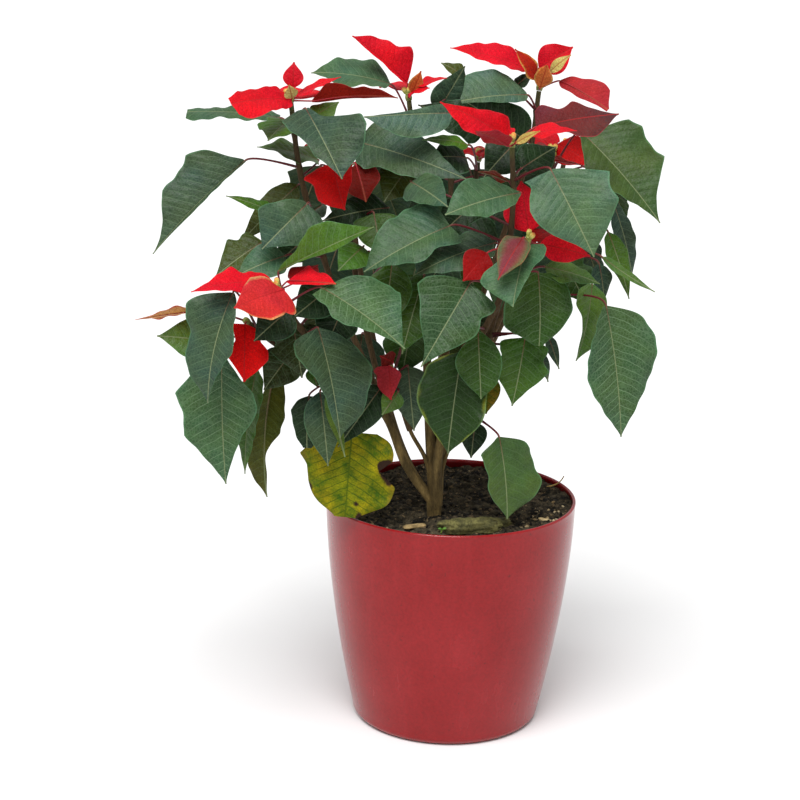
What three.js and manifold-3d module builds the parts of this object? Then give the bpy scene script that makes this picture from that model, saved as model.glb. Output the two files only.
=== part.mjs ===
// A poinsettia in a red pot: woody trunk, leafy shoots, bracts and flower buds.
// Millimetres, +Z up, origin at the centre of the pot's flat base, front of the plant towards -Y.
import * as THREE from 'three';
import { mergeVertices } from 'three/addons/utils/BufferGeometryUtils.js';
import Module from 'manifold-3d';

// ---- pot and soil
const potHeight = 230;
const rimRadius = 125.5;
const footRadius = 93;
const baseRadius = 86;
const footRounding = 8;
const wallTaper = 1.68;
const wallThickness = 3;
const lipHeight = 4;
const lipOverhang = 0.9;
const lipBevel = 0.8;
const potFloor = 6;
const potSides = 32;
const soilLevel = 224;
const soilRelief = 2.4;
const seatGap = 0.3;

// ---- plant
const bladeThickness = 1.4; // at the midrib, thinning towards the margin
const leafPetioleRadius = 1.6;
const bractPetioleRadius = 1.2;
const stumpTopRadius = 7.5;
const stumpFootRadius = 5.5;
const branchFootRadius = 5.2;
const branchTopRadius = 4.2;
const shootFootRadius = 3;
const shootTipRadius = 2.4;
const hubRadius = 3.4;
const hubHeight = 6;
const bractSeat = 0.35; // share of the hub's height where its bracts root
const budRadius = 2.6;
const budHeight = 7;
const woodPoints = 3; // how many points of a stem's route belong to the trunk

// ---- the plant's layout: one entry per shoot, named for its place in the plant.
// stem: spots of its route, from the stump to the bloom; a spot is [across, down, depth], see place().
// leaves and bracts: [base, tip, width, facing, fold in degrees, arch as a share of length,
// outline, colour]. buds: how many flower buds stand in the bloom. girth: thickness of its
// stretch of the trunk, as a share of the thickest.
const shoots =
{
"upper_left": {
"stem": [[433,501,-50],[406,463,-50],[385,408,-50],[338,300,-46],[309,208,-44],[298,160,-42],[291,103,-42]],
"leaves": [
[[245,161,-62],[153,254,-92],88,[-0.35,-0.72,0.6],40,0.04,"wing","dark"],
[[280,118,-8],[187,112,-12],31,[0,-0.28,1],8,0.03,"bell","mid"],
[[293,120,-26],[268,141,-78],52,[-0.2,-0.6,0.8],8,0.05,"angled","lime"],
[[318,160,-14],[257,147,-34],52,[0,-0.3,1],12,0.04,"angled","light"],
[[306,109,-66],[342,179,-122],88,[0,-0.8,0.6],22,0.05,"saddle","dark"],
[[313,118,-30],[339,102,-18],30,[0,-0.4,1],5,0.04,"plain","light"],
[[298,185,-22],[240,243,-42],31,[-0.3,-1,0.2],12,0.04,"plain","olive"],
[[282,217,-48],[226,196,-72],20,[0,-0.55,0.9],8,0.04,"plain","lime"],
[[307,204,-82],[262,249,-112],74,[0.1,-1,0.3],12,0.05,"shell","dark"],
[[263,242,-62],[215,277,-86],42,[-0.3,-0.9,0.4],14,0.05,"angled","olive"],
[[285,256,-88],[236,276,-108],38,[0,-0.8,0.6],14,0.05,"plain","mid"],
[[304,240,-64],[277,264,-78],34,[0,-0.9,0.4],12,0.05,"plain","darkest"]
],
"bracts": [
[[291,100,-46],[231,104,-100],32,[0,-0.8,0.6],12,0.05,"bell","red"],
[[293,88,-38],[294,62,-32],20,[0,-1,0],15,0.05,"bract","red"],
[[296,97,-38],[341,77,-30],20,[0,-0.2,1],12,0.04,"bract","red"],
[[312,101,-46],[398,98,-52],34,[0,0.8,0.6],10,0.06,"flag","rust"],
[[292,98,-50],[289,85,-58],14,[0.2,-1,0.1],16,0.03,"bract","yellow"],
[[293,99,-28],[316,90,22],46,[0,-0.1,1],10,0.05,"bract","red"]
],
"buds": 3,
"girth": 0.8
},
"top_center": {
"stem": [[434,505,-50],[430,440,-46],[427,360,-20],[424,260,0],[417,170,8],[409,101,10]],
"leaves": [
[[390,84,6],[311,73,-6],60,[0.1,-0.42,0.9],16,0.05,"tear","mid"],
[[438,111,28],[465,66,18],30,[0.2,-0.9,0.3],10,0.04,"plain","dark"],
[[466,78,34],[441,63,26],22,[0,-0.6,0.8],8,0.04,"plain","olive"],
[[453,113,-34],[364,117,-56],46,[0,-0.84,0.3],22,0.03,"flat","blue"],
[[357,142,-12],[468,180,-56],56,[0,-0.8,0.6],16,0.05,"lobed","dark"],
[[394,156,0],[352,165,-14],34,[0,-0.5,0.9],8,0.04,"plain","olive"],
[[408,168,-8],[384,202,-30],44,[0,-0.9,0.5],6,0.04,"plain","olive"]
],
"bracts": [
[[407,83,8],[352,36,0],56,[0.51,-0.71,0.48],36,0.04,"flag","red"],
[[416,86,2],[447,78,-6],20,[0,-0.3,1],10,0.04,"bract","red"],
[[409,94,-2],[430,88,-14],22,[0,-0.45,1],6,0.05,"bract","red"],
[[412,93,-2],[421,71,-8],15,[0.3,-1,0.1],14,0.03,"bract","orange"],
[[405,91,18],[384,84,60],34,[0,-0.1,1],10,0.05,"bract","red"]
],
"buds": 3,
"girth": 1
},
"top_right": {
"stem": [[436,505,-48],[441,440,-42],[468,340,-22],[505,230,4],[530,150,16],[539,91,22]],
"leaves": [
[[527,95,2],[461,101,-26],58,[0,-0.8,0.6],14,0.05,"oar","blue"],
[[528,142,12],[463,100,-4],48,[0,-0.95,0.3],8,0.04,"plain","darkest"],
[[516,86,12],[532,74,18],16,[0,-0.6,0.8],8,0.04,"plain","darkest"],
[[486,129,4],[418,105,-4],42,[0,-0.9,0.5],8,0.05,"lobed","darkest"],
[[514,144,-8],[484,177,-32],42,[0,-0.9,0.4],12,0.05,"plain","darkest"],
[[529,146,-22],[517,176,-38],26,[0.2,-0.9,0.3],12,0.05,"plain","darkest"]
],
"bracts": [
[[528,70,20],[450,48,-2],34,[0,-0.6,0.8],24,0.05,"bract","red"],
[[539,68,20],[573,47,28],32,[0.1,-0.9,0.3],16,0.05,"bract","red"],
[[537,79,10],[515,49,-8],19,[0.3,-0.8,0.5],14,0.03,"bract","edged"],
[[550,72,6],[571,55,-4],12,[0,-0.8,0.6],10,0.05,"bract","yellow"],
[[540,88,6],[547,65,-4],22,[0.1,-1,0.2],14,0.03,"pear","orange"],
[[560,81,26],[608,110,6],44,[-0.4,0.8,-0.4],14,-0.06,"oar","red"]
],
"buds": 2,
"girth": 1
},
"right_front": {
"stem": [[436,505,-52],[442,442,-56],[480,360,-64],[504,280,-72],[513,205,-76],[512,148,-76]],
"leaves": [
[[520,193,-100],[445,215,-142],66,[0.2,-0.7,0.7],16,0.06,"slip","mid"],
[[551,170,-116],[594,257,-142],88,[0,-1,0.35],14,0.05,"shield","blue"],
[[522,168,-62],[556,147,-34],36,[0,-0.9,0.4],8,0.04,"plain","darkest"],
[[450,226,-92],[364,272,-126],78,[-0.07,-0.67,0.74],16,0.05,"swan","mid"],
[[498,240,-64],[456,236,-60],40,[0,-0.8,0.4],8,0.05,"plain","darkest"],
[[508,181,-60],[478,172,-48],28,[0,0.5,0.9],8,0.04,"plain","rust"],
[[411,182,-52],[448,207,-112],38,[0,-0.9,0.5],8,0.04,"plain","mid"],
[[525,338,-84],[512,406,-92],56,[0.2,-1,0.3],14,0.05,"angled","green"],
[[548,336,-62],[559,369,-66],12,[0.3,-0.9,0.1],8,0.04,"plain","dark"],
[[541,353,-72],[548,382,-74],11,[0.3,-0.9,0.1],8,0.04,"plain","dark"]
],
"bracts": [
[[508,139,-80],[440,102,-112],38,[0.1,-0.8,0.6],14,0.05,"sickle","red"],
[[508,146,-98],[475,131,-142],30,[0,0.4,0.8],14,0.03,"bract","pink"],
[[518,141,-80],[577,131,-104],32,[0,-0.35,1],12,0.08,"bract","red"],
[[516,143,-96],[540,131,-112],9,[0,-0.8,0.6],8,0.03,"bract","yellow"],
[[536,127,-62],[619,114,-78],42,[0,-0.8,0.6],14,0.04,"ear","maroon"],
[[509,140,-70],[480,118,-38],32,[0,-0.1,1],10,0.05,"bract","red"]
],
"buds": 3,
"girth": 1
},
"right_back": {
"stem": [[437,505,-46],[444,440,-38],[490,340,0],[530,250,24],[551,195,36],[553,158,40]],
"leaves": [
[[582,133,-6],[660,223,-44],98,[0.3,-0.8,0.5],18,0.05,"sail","green"],
[[611,197,26],[632,276,18],30,[0.5,-0.8,0.2],8,0.05,"pear","dark"],
[[608,232,-6],[629,299,-24],23,[0.4,-0.85,0.3],14,0.04,"plain","lime"],
[[602,257,-34],[655,292,-38],13,[0.2,-0.6,0.8],14,-0.03,"plain","light"],
[[599,264,-12],[604,301,-20],22,[0.4,-0.8,0.2],8,0.04,"plain","dark"],
[[592,284,-34],[576,361,-44],46,[0.6,-0.7,0.2],12,0.05,"scarf","light"],
[[562,258,-14],[586,305,-24],44,[0.2,-1,0.3],12,0.05,"angled","green"],
[[606,306,-62],[621,437,-84],70,[0.45,-0.85,0.23],14,0.04,"paddle","veined"]
],
"bracts": [
[[558,144,52],[592,165,22],36,[0,-0.9,0.5],8,0.05,"bract","redShade"],
[[550,160,10],[592,169,-14],26,[0,0.4,0.9],8,0.04,"bract","rust"],
[[549,147,34],[537,146,4],16,[0,-0.6,0.8],8,0.04,"bract","redShade"],
[[550,147,50],[530,130,88],36,[0,-0.1,1],10,0.05,"bract","red"]
],
"buds": 3,
"girth": 1
},
"center_right": {
"stem": [[435,507,-53],[441,440,-61],[474,352,-76],[497,305,-88],[513,272,-100],[526,244,-106]],
"leaves": [
[[527,246,-126],[513,307,-166],66,[-0.28,-0.7,0.66],28,0.06,"cup","mid"],
[[545,267,-74],[600,284,-82],34,[0,-0.4,0.9],8,0.04,"plain","light"],
[[538,273,-88],[539,346,-114],73,[0.3,-0.9,0.33],12,0.06,"disc","green"],
[[495,243,-98],[413,276,-114],46,[0,-0.5,0.9],8,0.05,"plain","dark"],
[[462,352,-90],[448,454,-108],76,[-0.18,-0.96,0.2],14,0.05,"tear","edgeYellow"],
[[478,330,-104],[481,399,-118],52,[0,-1,0.22],14,0.05,"pear","green"],
[[470,283,-126],[421,367,-164],80,[0.11,-0.9,0.42],16,0.05,"maple","mid"],
[[489,376,-70],[486,414,-76],24,[0,-1,0.1],8,0.05,"plain","brownYellow"]
],
"bracts": [
[[523,238,-128],[498,280,-174],31,[-0.2,-0.9,0.3],28,0.04,"bract","halfGreen"],
[[487,253,-122],[463,281,-134],31,[0,-1,0.2],8,0.04,"bract","redShade"],
[[540,244,-102],[590,256,-92],28,[0,-0.9,0.5],6,0.05,"bract","red"],
[[529,232,-70],[521,181,-50],42,[0,-0.95,-0.1],8,0.04,"bract","red"],
[[532,242,-94],[556,230,-60],28,[0,-0.1,1],10,0.05,"bract","redShade"]
],
"buds": 2,
"girth": 1
},
"middle_back": {
"stem": [[435,503,-46],[436,430,-34],[448,330,-8],[462,240,14],[474,190,24],[478,162,28]],
"leaves": [
[[468,145,-22],[422,140,-42],22,[0,-0.5,1],6,0.05,"plain","lime"],
[[466,158,-8],[430,158,-36],42,[0,-0.8,0.6],12,0.05,"plain","darkest"],
[[472,206,-24],[437,238,-40],42,[0,-0.9,0.4],12,0.05,"plain","darkest"],
[[452,244,-22],[420,300,-36],56,[0,-1,0.3],12,0.05,"angled","dark"],
[[464,298,-38],[486,356,-52],46,[0.1,-1,0.3],12,0.05,"plain","darkOlive"]
],
"bracts": [
[[484,157,18],[490,148,-10],12,[0,-0.6,0.8],8,0.04,"bract","red"],
[[480,157,20],[483,149,-6],10,[0,-0.6,0.8],8,0.04,"bract","red"],
[[478,158,34],[484,148,72],34,[0,-0.1,1],8,0.05,"bract","red"]
],
"buds": 2,
"girth": 1
},
"left_front": {
"stem": [[432,503,-51],[405,464,-53],[383,413,-60],[334,365,-86],[298,325,-108],[280,292,-120]],
"leaves": [
[[279,271,-109],[374,227,-148],52,[-0.45,-0.73,0.5],30,0.02,"spoon","lime"],
[[322,288,-136],[405,349,-168],80,[0.2,-0.62,0.76],14,0.05,"fan","veined"],
[[318,328,-112],[340,438,-134],66,[0.5,-0.8,0.3],20,0.05,"mitten","dark"],
[[290,309,-114],[254,341,-128],40,[0,-1,0.3],8,0.05,"plain","darkest"],
[[342,310,-94],[326,348,-102],42,[0,-1,0.2],12,0.05,"plain","darkest"],
[[328,290,-98],[294,317,-112],40,[0,-1,0.3],8,0.05,"plain","darkest"],
[[293,324,-95],[302,378,-104],52,[0.1,-1,0.2],14,0.05,"angled","darkOlive"],
[[309,396,-86],[307,448,-96],34,[-0.2,-1,0.1],12,0.05,"oak","darkest"],
[[320,392,-96],[328,466,-108],38,[0.2,-1,0.1],14,0.05,"plain","dark"],
[[327,394,-112],[345,457,-122],14,[0.2,1,0.1],8,0.03,"plain","light"],
[[312,368,-76],[318,388,-80],16,[0,-1,0.2],8,0.05,"plain","lime"],
[[352,432,-80],[345,517,-90],97,[0,-1,0.1],8,0.03,"oak","yellowLeaf"]
],
"bracts": [
[[274,283,-120],[191,292,-158],42,[0,-0.45,1],10,0.06,"angled","red"],
[[284,290,-138],[234,308,-184],54,[0.4,-0.6,0.69],10,0.05,"trident","redPale"],
[[288,281,-120],[336,284,-142],40,[0,0.6,-0.8],8,-0.02,"flag","red"],
[[294,283,-104],[318,265,-74],32,[0,-0.1,1],10,0.05,"bract","redShade"]
],
"buds": 3,
"girth": 0.8
},
"far_left": {
"stem": [[432,501,-48],[405,462,-47],[380,405,-44],[326,374,-60],[277,345,-84],[249,323,-98]],
"leaves": [
[[233,293,-136],[208,403,-152],56,[-0.47,-0.85,0.24],18,0.09,"drop","dark"],
[[222,355,-102],[226,484,-112],84,[-0.19,-0.98,0.07],14,0.04,"spade","veined"],
[[257,368,-82],[245,474,-90],32,[-0.6,-0.8,0.1],16,0.04,"plain","light"],
[[274,376,-58],[267,497,-64],40,[0.5,0.9,0.1],14,-0.08,"hook","olive"],
[[292,352,-84],[264,390,-94],40,[-0.1,-1,0.2],12,0.05,"plain","darkOlive"],
[[215,342,-92],[157,336,-110],46,[0,-0.85,0.5],14,0.05,"lobed","light"]
],
"bracts": [
[[245,324,-108],[244,382,-126],50,[0.1,-0.94,0.33],14,0.05,"cleft","red"],
[[207,310,-100],[135,320,-120],32,[0,0.5,0.9],10,0.02,"bract","orange"]
],
"buds": 0,
"girth": 0.8
},
"left_inner": {
"stem": [[433,501,-47],[407,462,-45],[386,404,-38],[364,320,-18],[350,240,-2],[340,172,4]],
"leaves": [
[[388,208,-20],[322,221,-52],38,[0,-0.8,0.6],8,0.05,"plain","darkest"],
[[363,247,-50],[338,271,-82],36,[0,-0.9,0.5],8,0.05,"plain","lime"],
[[374,214,-50],[382,258,-72],44,[0,-1,0.3],12,0.05,"lobed","fresh"],
[[392,262,-76],[385,322,-98],54,[0.1,-1,0.3],14,0.05,"pear","fresh"],
[[362,334,0],[356,396,-4],50,[0,-1,0.2],12,0.05,"plain","dark"]
],
"bracts": [
[[333,163,-56],[345,210,-88],62,[-0.4,-0.8,0.4],16,0.05,"heart","redDeep"],
[[356,164,-30],[366,202,-52],38,[0,0.95,0.2],8,0.04,"bract","dull"]
],
"buds": 0,
"girth": 0.8
},
"low_center": {
"stem": [[434,492,-50],[425,458,-52],[410,430,-55],[398,392,-62],[391,370,-66]],
"leaves": [
[[408,366,-61],[414,431,-76],41,[0,-1,0.1],8,0.05,"plain","dark"],
[[382,386,-80],[338,447,-100],34,[0,-1,0.2],8,0.05,"plain","darkest"],
[[398,392,-84],[382,415,-96],22,[0,-1,0.2],8,0.05,"plain","light"],
[[424,276,-60],[402,354,-94],62,[-0.1,-1,0.3],14,0.05,"lobed","fresh"],
[[412,322,-40],[402,376,-44],56,[0,-1,0.2],12,0.05,"lobed","green"]
],
"bracts": [
[[389,366,-78],[391,400,-96],32,[0,-1,0.1],14,0.05,"heart","redDeep"],
[[393,362,-70],[380,356,-84],18,[0,-1,0.2],8,0.05,"bract","dull"]
],
"buds": 0,
"girth": 0.45
},
"low_right": {
"stem": [[436,500,-52],[444,462,-52],[454,440,-56],[468,424,-62],[481,416,-66]],
"leaves": [
[[499,437,-86],[507,519,-100],58,[0.5,-0.8,0.22],12,0.05,"tongue","pale"],
[[475,422,-57],[471,458,-62],26,[0,-1,0.2],8,0.05,"plain","darkest"]
],
"bracts": [
],
"buds": 0,
"girth": 0.45
},
"rear_left": {
"stem": [[433,503,-46],[408,462,-36],[388,404,-8],[368,312,60],[354,230,96],[347,152,112]],
"leaves": [
[[320,166,132],[296,236,170],60,[-0.3,0.9,0.4],8,0.05,"lobed","dark"],
[[356,172,154],[348,246,200],60,[0,1,0.4],8,0.05,"plain","mid"],
[[375,166,124],[402,232,164],60,[0.2,0.9,0.4],8,0.05,"angled","dark"],
[[322,204,88],[280,246,104],56,[-0.8,0.5,0.4],8,0.05,"plain","dark"],
[[340,240,118],[318,312,156],62,[-0.2,1,0.3],8,0.05,"plain","dark"],
[[370,252,106],[380,322,142],58,[0.1,1,0.3],8,0.05,"lobed","mid"],
[[338,300,74],[306,338,92],48,[-0.7,0.7,0.3],8,0.05,"plain","darkOlive"]
],
"bracts": [
[[334,150,119],[290,156,140],36,[0,0.2,1],10,0.05,"angled","red"],
[[360,150,119],[404,156,140],38,[0,0.2,1],10,0.05,"bract","red"],
[[347,150,127],[347,158,178],38,[0,0.2,1],10,0.05,"bract","red"],
[[358,151,103],[398,154,70],34,[0,-0.1,1],10,0.05,"bract","redShade"],
[[336,151,103],[297,154,70],34,[0,-0.1,1],10,0.05,"bract","redShade"]
],
"buds": 3,
"girth": 0.8
},
"rear_middle": {
"stem": [[434,505,-38],[437,436,-14],[440,372,24],[446,284,80],[450,214,122],[452,152,142]],
"leaves": [
[[436,166,172],[418,238,216],60,[0,1,0.4],8,0.05,"plain","mid"],
[[470,170,184],[490,240,224],58,[0.1,1,0.4],8,0.05,"lobed","dark"],
[[422,172,150],[396,242,192],60,[-0.3,1,0.4],8,0.05,"plain","dark"],
[[484,176,138],[512,236,172],58,[0.3,0.9,0.4],8,0.05,"plain","mid"],
[[446,242,152],[438,314,192],64,[0,1,0.3],8,0.05,"angled","dark"],
[[470,250,134],[474,308,166],54,[0.1,1,0.3],8,0.05,"plain","green"],
[[428,236,128],[406,300,160],56,[-0.2,1,0.3],8,0.05,"plain","mid"],
[[452,312,76],[448,368,104],48,[0,1,0.3],8,0.05,"plain","darkOlive"]
],
"bracts": [
[[439,150,149],[396,156,168],38,[0,0.2,1],10,0.05,"bract","red"],
[[465,150,149],[500,156,166],36,[0,0.2,1],10,0.05,"angled","red"],
[[452,150,157],[452,158,208],38,[0,0.2,1],10,0.05,"bract","red"],
[[441,151,133],[403,154,100],34,[0,0,1],10,0.05,"bract","redShade"],
[[463,151,133],[500,154,100],34,[0,0,1],10,0.05,"bract","redShade"]
],
"buds": 3,
"girth": 1
},
"rear_right": {
"stem": [[437,505,-44],[444,442,-28],[476,376,14],[520,286,70],[552,214,110],[566,152,126]],
"leaves": [
[[544,166,152],[526,238,192],58,[-0.1,1,0.4],8,0.05,"lobed","dark"],
[[584,172,158],[594,244,198],56,[0.3,0.9,0.4],8,0.05,"plain","mid"],
[[536,190,120],[500,256,156],60,[-0.4,1,0.4],8,0.05,"plain","dark"],
[[598,166,116],[626,222,136],58,[0.8,0.5,0.4],8,0.05,"plain","green"],
[[554,246,116],[546,316,154],62,[0,1,0.3],8,0.05,"angled","dark"],
[[522,262,98],[502,322,130],56,[-0.2,1,0.3],8,0.05,"plain","mid"],
[[580,232,84],[598,286,96],44,[0.8,0.6,0.3],8,0.05,"plain","dark"]
],
"bracts": [
[[553,150,133],[510,156,152],36,[0,0.2,1],10,0.05,"bract","red"],
[[579,150,133],[622,156,154],38,[0,0.2,1],10,0.05,"angled","red"],
[[566,150,141],[566,158,190],38,[0,0.2,1],10,0.05,"bract","red"],
[[555,151,117],[518,154,84],34,[0,0,1],10,0.05,"bract","redShade"],
[[577,151,117],[614,154,86],34,[0,0,1],10,0.05,"bract","redShade"]
],
"buds": 3,
"girth": 1
}
};

// ---- the layout sheet: a flat sheet that stands square to a line of sight through the plant.
// place(across, down, depth) is the point at that depth (y) behind the sheet's spot (across, down).
const sight = new THREE.Vector3(0, -1900, 850);
const aim = new THREE.Vector3(-53, 0, 327);
const sheetDistance = 1993;
const sheetMiddle = 400;
const sheetTilt = THREE.MathUtils.degToRad(1.3);
const upward = new THREE.Vector3(0, 0, 1);

const forward = aim.clone().sub(sight).normalize();
const levelAcross = new THREE.Vector3().crossVectors(forward, upward).normalize();
const levelUp = new THREE.Vector3().crossVectors(levelAcross, forward);
const sheetAcross = levelAcross.clone().applyAxisAngle(forward, -sheetTilt);
const sheetUp = levelUp.clone().applyAxisAngle(forward, -sheetTilt);

function place(across, down, depth) {
  const ray = forward.clone().multiplyScalar(sheetDistance)
    .addScaledVector(sheetAcross, across - sheetMiddle)
    .addScaledVector(sheetUp, sheetMiddle - down);
  return ray.multiplyScalar((depth - sight.y) / ray.y).add(sight);
}

// ---- closed solids
const wasm = await Module();
wasm.setup();

function solid(positions, triangles) {
  const mesh = new wasm.Mesh({
    numProp: 3,
    vertProperties: new Float32Array(positions),
    triVerts: new Uint32Array(triangles),
  });
  return new wasm.Manifold(mesh);
}

function solidFromGeometry(geometry) {
  geometry.deleteAttribute('normal');
  geometry.deleteAttribute('uv');
  const merged = mergeVertices(geometry, 1e-3);
  return solid(merged.attributes.position.array, merged.index.array);
}

// The biggest connected body; a loose scrap that a cut leaves behind is dropped.
function mainBody(joined) {
  return joined.decompose().reduce((best, next) => (next.volume() > best.volume() ? next : best));
}

function join(solids) {
  return solids.reduce((all, next) => all.add(next));
}

// A closed tube through points, with a radius at each point and flat ends.
function tube(points, radii, sides, tangents) {
  const chord = points.at(-1).clone().sub(points[0]).normalize();
  const spare = Math.abs(chord.z) > 0.6 ? new THREE.Vector3(1, 0, 0) : upward;
  const positions = [];
  points.forEach((point, i) => {
    const before = points[Math.max(i - 1, 0)];
    const after = points[Math.min(i + 1, points.length - 1)];
    const along = tangents ? tangents[i].clone() : after.clone().sub(before).normalize();
    const first = spare.clone().cross(along).normalize();
    const second = along.clone().cross(first);
    for (let k = 0; k < sides; k += 1) {
      const angle = (2 * Math.PI * k) / sides;
      const corner = point.clone()
        .addScaledVector(first, radii[i] * Math.cos(angle))
        .addScaledVector(second, radii[i] * Math.sin(angle));
      positions.push(...corner.toArray());
    }
  });
  const triangles = [];
  for (let i = 0; i < points.length - 1; i += 1) {
    for (let k = 0; k < sides; k += 1) {
      const a = i * sides + k;
      const b = i * sides + ((k + 1) % sides);
      triangles.push(a, b, b + sides, a, b + sides, a + sides);
    }
  }
  const last = (points.length - 1) * sides;
  for (let k = 1; k < sides - 1; k += 1) {
    triangles.push(0, k + 1, k, last, last + k, last + k + 1);
  }
  return solid(positions, triangles);
}

// ---- stems: a smooth curve through the route's points
function stemCurve(stem) {
  const points = stem.map((spot) => place(...spot));
  return new THREE.CatmullRomCurve3(points, false, 'catmullrom', 0.5);
}

function curvePoints(curve, from, to, count) {
  return Array.from({ length: count }, (_, i) => curve.getPoint(from + ((to - from) * i) / (count - 1)));
}

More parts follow.
